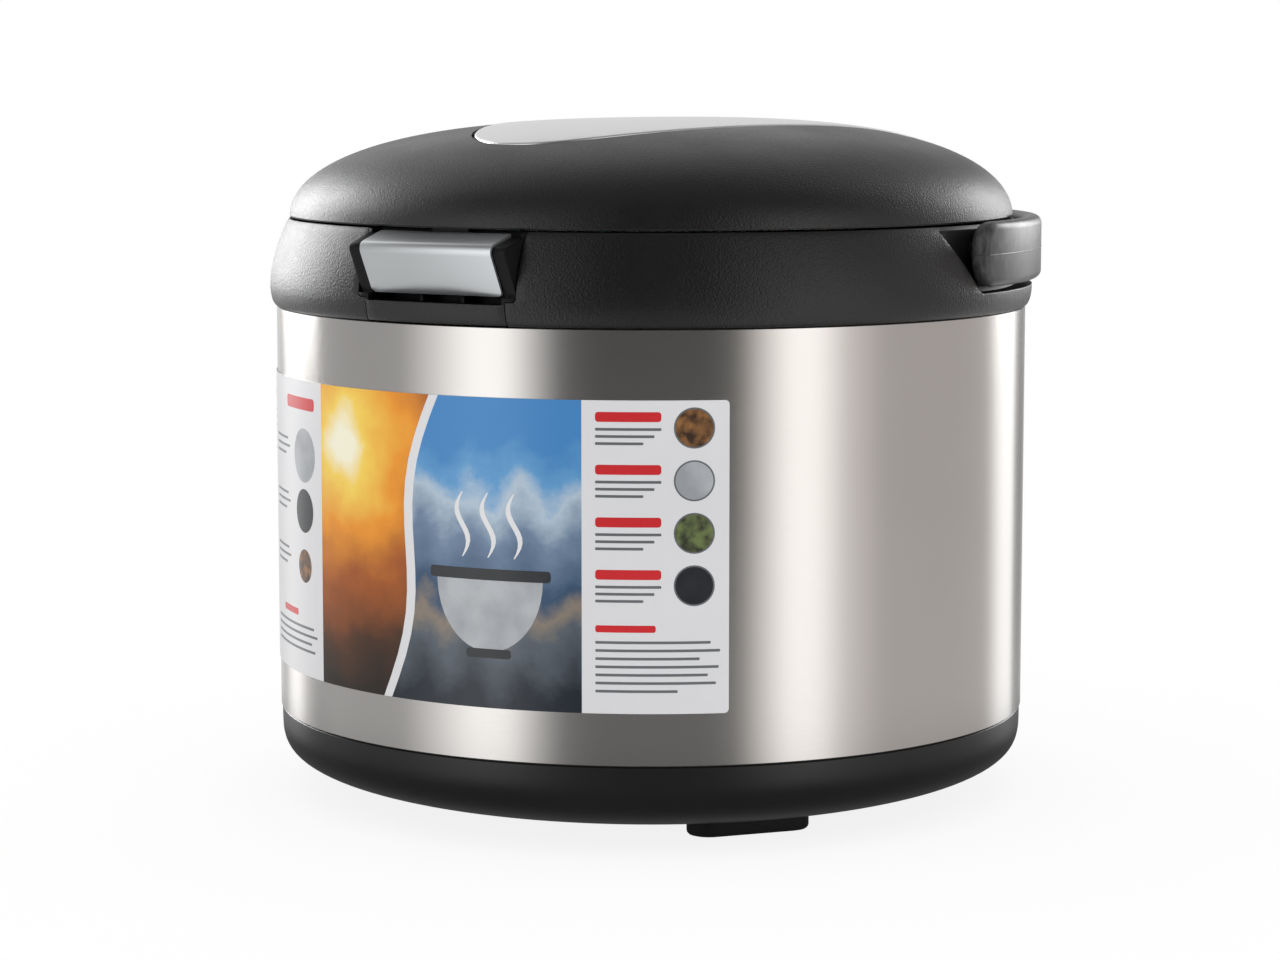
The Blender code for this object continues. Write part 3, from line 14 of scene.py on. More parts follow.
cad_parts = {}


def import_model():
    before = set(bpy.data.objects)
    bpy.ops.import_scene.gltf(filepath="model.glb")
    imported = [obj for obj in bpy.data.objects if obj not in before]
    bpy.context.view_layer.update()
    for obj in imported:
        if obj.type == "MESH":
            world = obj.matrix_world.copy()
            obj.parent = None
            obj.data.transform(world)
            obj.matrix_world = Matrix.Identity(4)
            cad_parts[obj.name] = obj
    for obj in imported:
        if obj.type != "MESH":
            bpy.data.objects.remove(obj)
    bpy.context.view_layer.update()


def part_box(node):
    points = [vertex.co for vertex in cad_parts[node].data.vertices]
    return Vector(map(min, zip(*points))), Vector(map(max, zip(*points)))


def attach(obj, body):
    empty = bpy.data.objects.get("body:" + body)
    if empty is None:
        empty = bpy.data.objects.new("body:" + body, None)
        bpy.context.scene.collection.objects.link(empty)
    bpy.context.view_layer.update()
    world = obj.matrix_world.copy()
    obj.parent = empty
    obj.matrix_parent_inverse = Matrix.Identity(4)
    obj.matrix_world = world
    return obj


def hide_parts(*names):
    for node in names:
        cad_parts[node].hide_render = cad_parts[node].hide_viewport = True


LOG = logging.getLogger("thermal_cooker")

Point = tuple[float, float]
Outline = list[Point]
Color = tuple[float, float, float, float]
Band = tuple[float, str]

UP = Vector((0.0, 0.0, 1.0))
WHITE_LIGHT: Color = (1.0, 1.0, 1.0, 1.0)


class Body(Enum):
    """The bodies that pieces ride on."""

    COOKER = "cooker_body"
    LID = "lid"
    LATCH = "latch"
    HANDLE = "handle"


class Slot(Enum):
    """The record's material slots."""

    BRUSHED_STEEL = "brushed_steel"
    POLISHED_STEEL = "polished_steel"
    SCREW_STEEL = "screw_steel"
    TEXTURED_BLACK = "textured_black"
    SMOOTH_BLACK = "smooth_black"
    SILVER_PAINT = "silver_paint"
    WHITE_PLASTIC = "white_plastic"
    SILICONE = "silicone"
    FOAM = "foam"
    RUBBER = "rubber"
    PRINTED_FILM = "printed_film"


class Cut(Enum):
    """Ways to combine a piece with another solid."""

    TAKE = "DIFFERENCE"
    JOIN = "UNION"
    KEEP = "INTERSECT"


@dataclass(frozen=True)
class Mould:
    """Shared small sizes, in metres."""

    gap: float = 0.0003
    overrun: float = 0.0020
    weld: float = 0.00001
    round_steps: int = 144
    small_steps: int = 32
    smooth_angle: float = math.radians(32.0)
    sharp_angle: float = math.radians(50.0)
    outer_skin: float = 0.0006


MOULD = Mould()


@dataclass(frozen=True)
class Sizes:
    """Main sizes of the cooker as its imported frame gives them, in metres."""

    body: float
    seam: float
    shell_top: float
    collar_low: float
    collar: float
    deck: float
    lid: float
    lid_edge: float
    lid_level: float
    collar_top: float
    crown_rise: float = 0.0383
    crown_radius_power: float = 2.97
    crown_height_power: float = 2.09
    crown_lean: float = 0.0027
    bulge_height: float = 0.0080
    collar_foot_setback: float = 0.0001
    collar_power: float = 1.7
    lid_setback: float = 0.0003

    @classmethod
    def from_frame(cls) -> "Sizes":
        """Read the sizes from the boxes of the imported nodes.

        Returns:
            The sizes that the fine pieces share.
        """
        shell_low, shell_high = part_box("outer_shell")
        collar_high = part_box("collar")[1]
        lid_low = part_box("lid_cover")[0]
        lid_radius = -lid_low.y
        return cls(
            body=shell_high.x,
            seam=shell_low.z,
            shell_top=shell_high.z,
            collar_low=shell_high.z + MOULD.gap,
            collar=collar_high.x,
            deck=collar_high.z,
            lid=lid_radius,
            lid_edge=lid_low.z,
            lid_level=(collar_high.z + lid_low.z) / 2,
            collar_top=lid_radius + cls.lid_setback,
        )


def linear(code: str) -> Color:
    """Turn an sRGB hex value to the linear colour that shaders take.

    Args:
        code: Six hex digits, red first.

    Returns:
        Linear red, green and blue, with full alpha.
    """
    parts = [int(code[index : index + 2], 16) / 255.0 for index in (0, 2, 4)]
    red, green, blue = [part / 12.92 if part <= 0.04045 else ((part + 0.055) / 1.055) ** 2.4
                        for part in parts]
    return red, green, blue, 1.0


def add(tree: NodeTree, kind: str, settings: dict | None = None, **inputs: object) -> Node:
    """Add a node with its settings and links.

    Args:
        tree: The tree that gets the node.
        kind: The node's type without its ShaderNode start.
        settings: Values of the node's own properties.
        **inputs: Values or sockets by input name, spaces as underscores, or by number after a letter i.

    Returns:
        The new node.
    """
    node = tree.nodes.new("ShaderNode" + kind)
    for key, value in (settings or {}).items():
        setattr(node, key, value)
    for key, value in inputs.items():
        numbered = key[0] == "i" and key[1:].isdigit()
        socket = node.inputs[int(key[1:])] if numbered else node.inputs[key.replace("_", " ")]
        if isinstance(value, NodeSocket):
            tree.links.new(value, socket)
        else:
            socket.default_value = value
    return node


def ramp(tree: NodeTree, value: NodeSocket, stops: list[Band]) -> NodeSocket:
    """Colour a value by a list of stops.

    Args:
        tree: The tree that gets the node.
        value: The value to colour.
        stops: Places from 0 to 1 with their hex colours, in order.

    Returns:
        The colour output.
    """
    node = add(tree, "ValToRGB", Fac=value)
    elements = node.color_ramp.elements
    elements[0].position, elements[0].color = stops[0][0], linear(stops[0][1])
    elements[1].position, elements[1].color = stops[-1][0], linear(stops[-1][1])
    for place, code in stops[1:-1]:
        elements.new(place).color = linear(code)
    return node.outputs["Color"]


def calculate(tree: NodeTree, operation: str, *values: NodeSocket | float) -> NodeSocket:
    """The outcome of a Math node on up to three sockets or numbers."""
    inputs = {f"i{index}": value for index, value in enumerate(values)}
    return add(tree, "Math", {"operation": operation}, **inputs).outputs["Value"]


def mixed(tree: NodeTree, way: str, share: NodeSocket | float, first: NodeSocket | Color,
          second: NodeSocket | Color) -> NodeSocket:
    """Two colours mixed one way by a share."""
    settings = {"data_type": "RGBA", "blend_type": way}
    return add(tree, "Mix", settings, Factor=share, i6=first, i7=second).outputs[2]


def cleared(owner: Material | World) -> NodeTree:
    """The node tree of a material or a world, emptied."""
    owner.use_nodes = True
    owner.node_tree.nodes.clear()
    return owner.node_tree


@dataclass(frozen=True)
class Finish:
    """A moulded, painted or metal surface with fine grain, slow mottling and matching relief."""

    name: str
    slot: Slot
    color: str
    shade: str
    roughness: float
    spread: float = 0.06
    metallic: float = 0.0
    grain: float = 0.0006
    relief: float = 0.00002
    patch: float = 0.030
    stretch: tuple[float, float, float] = (1.0, 1.0, 1.0)
    subsurface: float = 0.0
    specular: float = 0.5

    def build(self) -> Material:
        """Make the material, once.

        Returns:
            The material with its nodes.
        """
        if self.name in bpy.data.materials:
            return bpy.data.materials[self.name]
        material = bpy.data.materials.new(self.name)
        tree = cleared(material)
        shader = add(tree, "BsdfPrincipled", Metallic=self.metallic, Subsurface_Weight=self.subsurface,
                     Subsurface_Scale=self.grain, Specular_IOR_Level=self.specular)
        self.dress(tree, shader, add(tree, "TexCoord").outputs["Object"])
        add(tree, "OutputMaterial", Surface=shader.outputs["BSDF"])
        return material

    def dress(self, tree: NodeTree, shader: Node, place: NodeSocket) -> None:
        """Give the shader its colour, gloss and relief.

        Args:
            tree: The material's tree.
            shader: The Principled shader.
            place: The surface coordinates.
        """
        slow = add(tree, "TexNoise", Vector=place, Scale=1.0 / self.patch, Detail=4.0)
        stretched = add(tree, "Mapping", Vector=place, Scale=self.stretch)
        fine = add(tree, "TexNoise", Vector=stretched.outputs["Vector"], Scale=1.0 / self.grain, Detail=2.0)
        tone = ramp(tree, slow.outputs["Fac"], [(0.35, self.shade), (0.65, self.color)])
        tree.links.new(tone, shader.inputs["Base Color"])
        blend = calculate(tree, "MULTIPLY_ADD", fine.outputs["Fac"], 0.6, slow.outputs["Fac"])
        gloss = add(tree, "MapRange", Value=blend, From_Min=0.5, From_Max=1.1,
                    To_Min=self.roughness - self.spread, To_Max=self.roughness + self.spread)
        tree.links.new(gloss.outputs["Result"], shader.inputs["Roughness"])
        bump = add(tree, "Bump", Strength=1.0, Distance=self.relief, Height=fine.outputs["Fac"])
        tree.links.new(bump.outputs["Normal"], shader.inputs["Normal"])


@dataclass(frozen=True)
class BrushedFinish(Finish):
    """Metal brushed round its axis: fine rings that stretch each reflection up and down."""

    anisotropy: float = 0.7

    def dress(self, tree: NodeTree, shader: Node, place: NodeSocket) -> None:
        """Add the brushed rings to the plain finish."""
        super().dress(tree, shader, place)
        tangent = add(tree, "Tangent", {"direction_type": "RADIAL", "axis": "Z"})
        tree.links.new(tangent.outputs["Tangent"], shader.inputs["Tangent"])
        shader.inputs["Anisotropic"].default_value = self.anisotropy
        shader.inputs["Anisotropic Rotation"].default_value = 0.25


@dataclass(frozen=True)
class ScuffedFinish(Finish):
    """Smooth dark plastic with rubbed, paler patches and short scratches from handling."""

    scuff: str = "4a4a4c"
    scratch: float = 0.0012

    def dress(self, tree: NodeTree, shader: Node, place: NodeSocket) -> None:
        """Add rubbed patches and scratches to the plain finish.

        Args:
            tree: The material's tree.
            shader: The Principled shader.
            place: The surface coordinates.
        """
        super().dress(tree, shader, place)
        rubbed = add(tree, "TexNoise", Vector=place, Scale=1.0 / self.patch, Detail=8.0, Roughness=0.7)
        drawn = add(tree, "Mapping", Vector=place, Scale=(0.5, 0.5, 0.28), Rotation=(0.6, 0.5, 0.2))
        drawn_out = drawn.outputs["Vector"]
        scratches = add(tree, "TexNoise", Vector=drawn_out, Scale=1.0 / self.scratch, Detail=3.0)
        both = calculate(tree, "MULTIPLY", rubbed.outputs["Fac"], scratches.outputs["Fac"])
        tone = ramp(tree, both, [(0.19, self.shade), (0.27, self.color), (0.40, self.scuff)])
        tree.links.new(tone, shader.inputs["Base Color"])


@dataclass(frozen=True)
class GlowPrint(Finish):
    """Printed picture of soft warm light: rings that spread from a bright spot into dark brown."""

    center: Point = (-0.048, 0.143)
    reach: float = 0.115

    def dress(self, tree: NodeTree, shader: Node, place: NodeSocket) -> None:
        """Paint the rings over the film's own map.

        Args:
            tree: The material's tree.
            shader: The Principled shader.
            place: The surface coordinates, not used: the film's own map replaces them.
        """
        sheet = add(tree, "TexCoord").outputs["UV"]
        moved = add(tree, "Mapping", {"vector_type": "POINT"}, Vector=sheet,
                    Location=(-self.center[0], -self.center[1], 0.0))
        far = add(tree, "VectorMath", {"operation": "LENGTH"}, i0=moved.outputs["Vector"])
        cloud = add(tree, "TexNoise", Vector=sheet, Scale=1.0 / self.patch, Detail=5.0)
        share = calculate(tree, "DIVIDE", far.outputs["Value"], self.reach)
        waves = calculate(tree, "MULTIPLY_ADD", cloud.outputs["Fac"], 0.34, share)
        tone = ramp(tree, waves, [(0.20, "fffbe0"), (0.30, "ffd95a"), (0.46, "f39a24"), (0.66, "a8581c"),
                                  (0.86, "4a2c16"), (1.0, "21170f")])
        tree.links.new(tone, shader.inputs["Base Color"])
        shader.inputs["Roughness"].default_value = self.roughness


@dataclass(frozen=True)
class WavePrint(Finish):
    """Printed picture of layered waves, from pale sky blue down to slate."""

    low: float = 0.048
    height: float = 0.115
    wave: float = 0.021

    def dress(self, tree: NodeTree, shader: Node, place: NodeSocket) -> None:
        """Paint the waves over the film's own map.

        Args:
            tree: The material's tree.
            shader: The Principled shader.
            place: The surface coordinates, not used: the film's own map replaces them.
        """
        sheet = add(tree, "TexCoord").outputs["UV"]
        parts = add(tree, "SeparateXYZ", Vector=sheet)
        phase = calculate(tree, "DIVIDE", parts.outputs["X"], self.wave / math.tau)
        swell = calculate(tree, "SINE", phase)
        level = add(tree, "MapRange", {"clamp": False}, Value=parts.outputs["Y"], From_Min=self.low,
                    From_Max=self.low + self.height)
        cloud = add(tree, "TexNoise", Vector=sheet, Scale=1.0 / self.patch, Detail=6.0, Roughness=0.62)
        lifted = calculate(tree, "MULTIPLY_ADD", swell, 0.030, level.outputs["Result"])
        rough = calculate(tree, "MULTIPLY_ADD", cloud.outputs["Fac"], 0.30, lifted)
        tone = ramp(tree, rough, [(0.18, "1d2530"), (0.36, "57606a"), (0.44, "8b7f72"), (0.52, "33506e"),
                                  (0.70, "6d84a0"), (0.82, "b4c6d6"), (0.90, "5f9ccf"), (1.0, "3f86c4")])
        tree.links.new(tone, shader.inputs["Base Color"])
        shader.inputs["Roughness"].default_value = self.roughness


def ink(name: str, color: str, shade: str, patch: float = 0.080, roughness: float = 0.30) -> Finish:
    """A glossy ink or film, with patches of a second tone."""
    return Finish(name, Slot.PRINTED_FILM, color, shade, roughness, 0.02, 0.0, 0.0020, 0.000001, patch)


class Palette:
    """The finishes of the cooker."""

    # Polypropylene moulded against a spark-eroded tool: near black with a fine sandy grain.
    GRAINED = Finish("grained_polypropylene", Slot.TEXTURED_BLACK, "171718", "131314", 0.39, 0.09, 0.0,
                     0.0008, 0.00020, 0.060)
    # The same plastic inside recesses and the channel, where the tool isn't textured; its darker colour and
    # weaker sheen are painted shade, as hardly any light comes in there.
    PAINTED_SHADE = Finish("painted_shade_polypropylene", Slot.TEXTURED_BLACK, "0e0e0f", "0b0b0c", 0.44, 0.05, 0.0, 0.0010,
                    0.00001, 0.030, specular=0.18)
    # The same plastic against a polished tool: black, with softer grain and clearer reflections.
    SATIN = Finish("satin_polypropylene", Slot.SMOOTH_BLACK, "181819", "151516", 0.32, 0.05, 0.0, 0.0012,
                   0.000012, 0.050)
    # Nylon of the bail: dark, rubbed to paler patches by hands and packing.
    NYLON = ScuffedFinish("rubbed_nylon", Slot.SMOOTH_BLACK, "3c3c3e", "333335", 0.36, 0.04, 0.0, 0.0010,
                          0.00001, 0.016, scuff="4c4c4e")
    # Stainless sheet brushed round the body: pale rings, each reflection drawn up and down.
    BRUSHED = BrushedFinish("brushed_stainless", Slot.BRUSHED_STEEL, "d3d0cd", "cbc8c5", 0.23, 0.03, 1.0,
                            0.0050, 0.0000015, 0.200, (1.0, 1.0, 14.0))
    # Deep-drawn stainless with a mirror polish that has gone slightly cloudy.
    POLISHED = Finish("polished_stainless", Slot.POLISHED_STEEL, "d6d4d0", "cfccc8", 0.14, 0.04, 1.0, 0.0030,
                      0.000001, 0.040)
    # Zinc-plated steel of the small fixings.
    ZINC = Finish("zinc_plated_steel", Slot.SCREW_STEEL, "b9bbbd", "a7a9ac", 0.34, 0.06, 1.0, 0.0009,
                  0.000004, 0.006)
    # Spring steel blackened against rust: dark grey with a dull sheen.
    BLACKENED = Finish("blackened_steel", Slot.SCREW_STEEL, "2b2b2d", "1d1d1f", 0.42, 0.06, 0.6, 0.0009,
                       0.000004, 0.006)
    # Anodised aluminium sheet of the plate: pale, even and softly bright.
    ANODISED = Finish("anodised_aluminium", Slot.SILVER_PAINT, "eaeaeb", "e6e6e7", 0.30, 0.03, 0.9, 0.0008,
                      0.0000005, 0.060)
    # ABS sprayed with a fine aluminium lacquer: satin silver with a soft sparkle.
    SILVER = Finish("silver_lacquered_abs", Slot.SILVER_PAINT, "cfd2d4", "cbced0", 0.30, 0.02, 0.85, 0.0008,
                    0.0000005, 0.040)
    # Food-grade polypropylene: clean white with a faint mould grain.
    WHITE = Finish("white_polypropylene", Slot.WHITE_PLASTIC, "e6e5e1", "dfded9", 0.38, 0.05, 0.0, 0.0010,
                   0.00001, 0.040)
    # Translucent silicone of the seal.
    SILICONE = Finish("moulded_silicone", Slot.SILICONE, "c9cbc8", "bfc2bf", 0.52, 0.06, 0.0, 0.0014, 0.00001,
                      0.020, subsurface=0.4)
    # Polyurethane foam: open, yellowed cells.
    FOAM = Finish("polyurethane_foam", Slot.FOAM, "dccf9f", "c9b985", 0.85, 0.08, 0.0, 0.0016, 0.0002, 0.015)
    # Soft rubber of the feet, matt and dusty.
    RUBBER = Finish("moulded_rubber", Slot.RUBBER, "1a1a1a", "131313", 0.62, 0.08, 0.0, 0.0009, 0.00003,
                    0.012)
    # Glossy white film, and the inks printed on it: even, with the same gloss as the film.
    FILM = ink("white_film", "e6e6e8", "e2e2e4")
    RED_INK = ink("red_ink", "d8232a", "cf2027")
    GREY_INK = ink("grey_ink", "6f7276", "66696d", roughness=0.32)
    DARK_INK = ink("dark_ink", "2a2d31", "1f2226", 0.012)
    PALE_INK = ink("pale_ink", "b9bcc0", "9c9fa4", 0.016)
    OCHRE_INK = ink("ochre_ink", "9a6a3a", "3d2c20", 0.004)
    GREEN_INK = ink("green_ink", "6f7d4a", "3a3b2e", 0.004)
    GLOW = GlowPrint("warm_print", Slot.PRINTED_FILM, "f39a24", "4a2c16", 0.30, patch=0.026)
    WAVES = WavePrint("wave_print", Slot.PRINTED_FILM, "6d84a0", "1d2530", 0.30, patch=0.022)


def arc(center: Point, radius: float, start: float, end: float, count: int) -> Outline:
    """Points of a circular arc.

    Args:
        center: The arc's centre.
        radius: Its radius.
        start: Its first angle, in radians.
        end: Its last angle, in radians.
        count: How many points it gets.

    Returns:
        The points in order.
    """
    angles = [start + (end - start) * index / max(1, count - 1) for index in range(count)]
    return [(center[0] + radius * math.cos(angle), center[1] + radius * math.sin(angle)) for angle in angles]


def mirrored(points: Outline) -> Outline:
    """Points of an outline on the other side of its middle, in the opposite order."""
    return [(-across, along) for across, along in reversed(points)]


def grown(outline: Outline, margin: float) -> Outline:
    """Set out each side of an outline that runs counterclockwise.

    Args:
        outline: The points.
        margin: How far its sides move out.

    Returns:
        The wider outline.
    """
    points = [Vector(point) for point in outline]
    moved = []
    for before, point, after in zip(points[-1:] + points[:-1], points, points[1:] + points[:1]):
        sides = [Vector((side.y, -side.x)).normalized() for side in (point - before, after - point)]
        out = (sides[0] + sides[1]).normalized()
        moved.append(tuple(point + out * (margin / out.dot(sides[0]))))
    return moved


def rounded(corners: Outline, radius: float, count: int = 5) -> Outline:
    """Round the corners of an outline.

    Args:
        corners: The corners in order round the outline.
        radius: The rounding's radius.
        count: Points in each rounding.

    Returns:
        The outline with its corners rounded.
    """
    points: Outline = []
    for index, corner in enumerate(corners):
        here = Vector(corner)
        before = (Vector(corners[index - 1]) - here).normalized()
        after = (Vector(corners[(index + 1) % len(corners)]) - here).normalized()
        half = before.angle(after) / 2
        reach = radius / math.tan(half)
        start = here + before * reach
        end = here + after * reach
        middle = here + (before + after).normalized() * (radius / math.sin(half))
        first = start - middle
        last = end - middle
        sweep = first.angle_signed(last)
        for step in range(count):
            turn = Matrix.Rotation(-sweep * step / (count - 1), 2)
            points.append(tuple(middle + turn @ first))
    return points


def turned(profile: Outline, closed: bool = False, steps: int = MOULD.round_steps) -> BMesh:
    """Spin a (radius, height) profile round the Z axis.

    Args:
        profile: The points of the profile.
        closed: Whether its last point joins its first one.
        steps: Steps of the full turn.

    Returns:
        The closed shape.
    """
    shape = bmesh.new()
    verts = [shape.verts.new((radius, 0.0, height)) for radius, height in profile]
    pairs = list(zip(verts, verts[1:])) + ([(verts[-1], verts[0])] if closed else [])
    edges = [shape.edges.new(pair) for pair in pairs]
    bmesh.ops.spin(shape, geom=verts + edges, cent=(0.0, 0.0, 0.0), axis=(0.0, 0.0, 1.0), angle=math.tau,
                   steps=steps, use_merge=True)
    bmesh.ops.remove_doubles(shape, verts=shape.verts, dist=MOULD.weld)
    bmesh.ops.recalc_face_normals(shape, faces=shape.faces)
    return shape


def prism(outline: Outline, low: float, high: float, matrix: Matrix | None = None) -> BMesh:
    """Extrude a flat outline along its normal.

    Args:
        outline: The points in the plane.
        low: Where the solid starts along the normal.
        high: Where it ends.
        matrix: Takes the plane to its place, if it isn't the XY plane.

    Returns:
        The closed shape.
    """
    shape = bmesh.new()
    base = shape.faces.new([shape.verts.new((across, along, low)) for across, along in outline])
    grown = bmesh.ops.extrude_face_region(shape, geom=[base])
    top = [item for item in grown["geom"] if isinstance(item, bmesh.types.BMVert)]
    bmesh.ops.translate(shape, vec=(0.0, 0.0, high - low), verts=top)
    bmesh.ops.transform(shape, matrix=matrix or Matrix.Identity(4), verts=shape.verts)
    bmesh.ops.recalc_face_normals(shape, faces=shape.faces)
    return shape


def side_matrix() -> Matrix:
    """Take an outline in (Y, Z) to its place, with its thickness along X."""
    return Matrix(((0.0, 0.0, 1.0, 0.0), (1.0, 0.0, 0.0, 0.0), (0.0, 1.0, 0.0, 0.0), (0.0, 0.0, 0.0, 1.0)))


def block(low: tuple, high: tuple) -> BMesh:
    """Make a box between two corners.

    Args:
        low: The lowest corner.
        high: The highest corner.

    Returns:
        The closed shape.
    """
    shape = bmesh.new()
    bmesh.ops.create_cube(shape, size=1.0)
    bmesh.ops.scale(shape, vec=Vector(high) - Vector(low), verts=shape.verts)
    bmesh.ops.translate(shape, vec=(Vector(high) + Vector(low)) / 2, verts=shape.verts)
    return shape


def aim(start: Vector, direction: Vector) -> Matrix:
    """The matrix that takes the Z axis to a direction from a point."""
    turn = UP.rotation_difference(direction)
    return Matrix.Translation(start) @ turn.to_matrix().to_4x4()


def rod(start: tuple, end: tuple, radius: float, steps: int = MOULD.small_steps) -> BMesh:
    """Make a round rod between two points.

    Args:
        start: The centre of one end.
        end: The centre of the other end.
        radius: The rod's radius.
        steps: Sides of the rod.

    Returns:
        The closed shape.
    """
    first, last = Vector(start), Vector(end)
    shape = bmesh.new()
    bmesh.ops.create_cone(shape, cap_ends=True, segments=steps, radius1=radius, radius2=radius,
                          depth=(last - first).length)
    bmesh.ops.transform(shape, matrix=aim((first + last) / 2, last - first), verts=shape.verts)
    return shape


def polar(radius: float, degrees: float, height: float) -> Vector:
    """A point at an angle from the front, positive to the right."""
    angle = math.radians(degrees)
    return Vector((radius * math.sin(angle), -radius * math.cos(angle), height))


def evaluated(item: Object) -> Mesh:
    """The mesh of an object with its modifiers applied."""
    graph = bpy.context.evaluated_depsgraph_get()
    return bpy.data.meshes.new_from_object(item.evaluated_get(graph))


def linked(name: str, data: ID) -> Object:
    """A new object of some data, in the scene."""
    item = bpy.data.objects.new(name, data)
    bpy.context.scene.collection.objects.link(item)
    return item


def meshed(name: str, shape: BMesh) -> Object:
    """A new object of a shape, which is used up."""
    mesh = bpy.data.meshes.new(name)
    shape.to_mesh(mesh)
    shape.free()
    return linked(name, mesh)


def cut(item: Object, way: Cut, tool: Object) -> None:
    """Give an object the modifier that combines it with another one."""
    modifier = item.modifiers.new(way.name, "BOOLEAN")
    modifier.operation = way.value
    modifier.object = tool


def sliced(shape: BMesh, place: Vector, normal: Vector) -> None:
    """Cut new edges into a shape where a plane crosses it."""
    parts = shape.verts[:] + shape.edges[:] + shape.faces[:]
    bmesh.ops.bisect_plane(shape, geom=parts, dist=MOULD.weld / 10, plane_co=place, plane_no=normal)


def bevelled(shape: BMesh, edge: float, steps: int) -> None:
    """Round the sharp edges of a shape to a width in steps."""
    sharp = [line for line in shape.edges if line.calc_face_angle(0.0) > MOULD.sharp_angle]
    bmesh.ops.bevel(shape, geom=sharp, offset=edge, offset_type="OFFSET", affect="EDGES", segments=steps,
                    profile=0.5, material=-1, clamp_overlap=True)


def finished(name: str, shape: BMesh, finish: Finish, body: Body, nodes: tuple[str, ...] = (),
             cuts: tuple[tuple[Cut, BMesh], ...] = (), edge: float = 0.0, edge_steps: int = 2) -> Object:
    """Make a piece of a shape, its cuts and its rounded edges, and let it ride on a body.

    Args:
        name: The piece's name.
        shape: Its starting shape, which is used up.
        finish: Its surface finish.
        body: The body that it moves with.
        nodes: The frame's nodes that it stands for.
        cuts: Solids to take away, join or keep, in order.
        edge: The width of its rounded edges.
        edge_steps: Segments of each rounding.

    Returns:
        The piece, at the origin, with its place in its mesh.
    """
    item = meshed(name, shape)
    tools = [meshed(name + "_tool", other) for _, other in cuts]
    for (way, _), tool in zip(cuts, tools):
        cut(item, way, tool)
    if cuts:
        item.data = evaluated(item)
        item.modifiers.clear()
    for tool in tools:
        bpy.data.objects.remove(tool)
    if edge:
        soften(item.data, edge, edge_steps)
    coat(item, finish)
    item.data.shade_smooth()
    item.data.set_sharp_from_angle(angle=MOULD.smooth_angle)
    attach(item, body.value)
    if nodes:
        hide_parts(*nodes)
    LOG.info("%s: %d faces", name, len(item.data.polygons))
    return item


def soften(mesh: Mesh, edge: float, steps: int) -> None:
    """Round the sharp edges of a mesh to a width in steps."""
    shape = bmesh.new()
    shape.from_mesh(mesh)
    bmesh.ops.remove_doubles(shape, verts=shape.verts, dist=MOULD.weld)
    bevelled(shape, edge, steps)
    shape.to_mesh(mesh)
    shape.free()


def refinish(item: Object, chosen: Callable[[Vector], bool], finish: Finish) -> None:
    """Give some faces of a piece a finish of their own.

    Args:
        item: The piece.
        chosen: Tells from the middle of a face whether it is one of them.
        finish: The finish that they get.
    """
    item.data.materials.append(finish.build())
    for face in item.data.polygons:
        if chosen(face.center):
            face.material_index = 1


def coat(item: Object, finish: Finish) -> None:
    """Give an object one finish all over."""
    item.data.materials.clear()
    item.data.materials.append(finish.build())


def dressed(finish: Finish, *nodes: str) -> None:
    """Give nodes of the frame their finish."""
    for node in nodes:
        coat(bpy.data.objects[node], finish)


class Fixing(Enum):
    """Shank radius, head radius and head height of each kind of screw."""

    BASE = (0.0020, 0.0040, 0.0024)
    KNOB = (0.0020, 0.0040, 0.0015)
    LID = (0.0014, 0.0026, 0.0007)
    HINGE = (0.0014, 0.0026, 0.0010)


@dataclass(frozen=True)
class Screw:
    """A pan-head screw with a cross recess."""

    node: str
    direction: Vector
    fixing: Fixing
    crown: float = 0.8
    crown_drop: float = 0.1
    slot_length: float = 0.62
    slot_width: float = 0.13
    slot_depth: float = 0.6

    def build(self, body: Body) -> None:
        """Make the screw in the place of its node.

        Args:
            body: The body that it moves with.
        """
        low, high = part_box(self.node)
        middle = (low + high) / 2
        reach = abs((high - low).dot(self.direction)) / 2
        start = middle - self.direction * reach
        shank, head, seat = self.fixing.value
        profile = [(0.0, reach * 2), (shank, reach * 2), (shank, seat), (head, seat), (head, seat / 2),
                   (head * self.crown, seat * self.crown_drop), (0.0, 0.0)]
        shape = turned(profile, steps=MOULD.small_steps)
        cross = (head * self.slot_length, head * self.slot_width)
        deep = seat * self.slot_depth
        recess = [(Cut.TAKE, block((-a, -b, -seat), (a, b, deep))) for a, b in (cross, cross[::-1])]
        matrix = aim(start, self.direction)
        for solid in (shape, *[tool for _, tool in recess]):
            bmesh.ops.transform(solid, matrix=matrix, verts=solid.verts)
        finished("fine_" + self.node, shape, Palette.ZINC, body, (self.node,), tuple(recess))


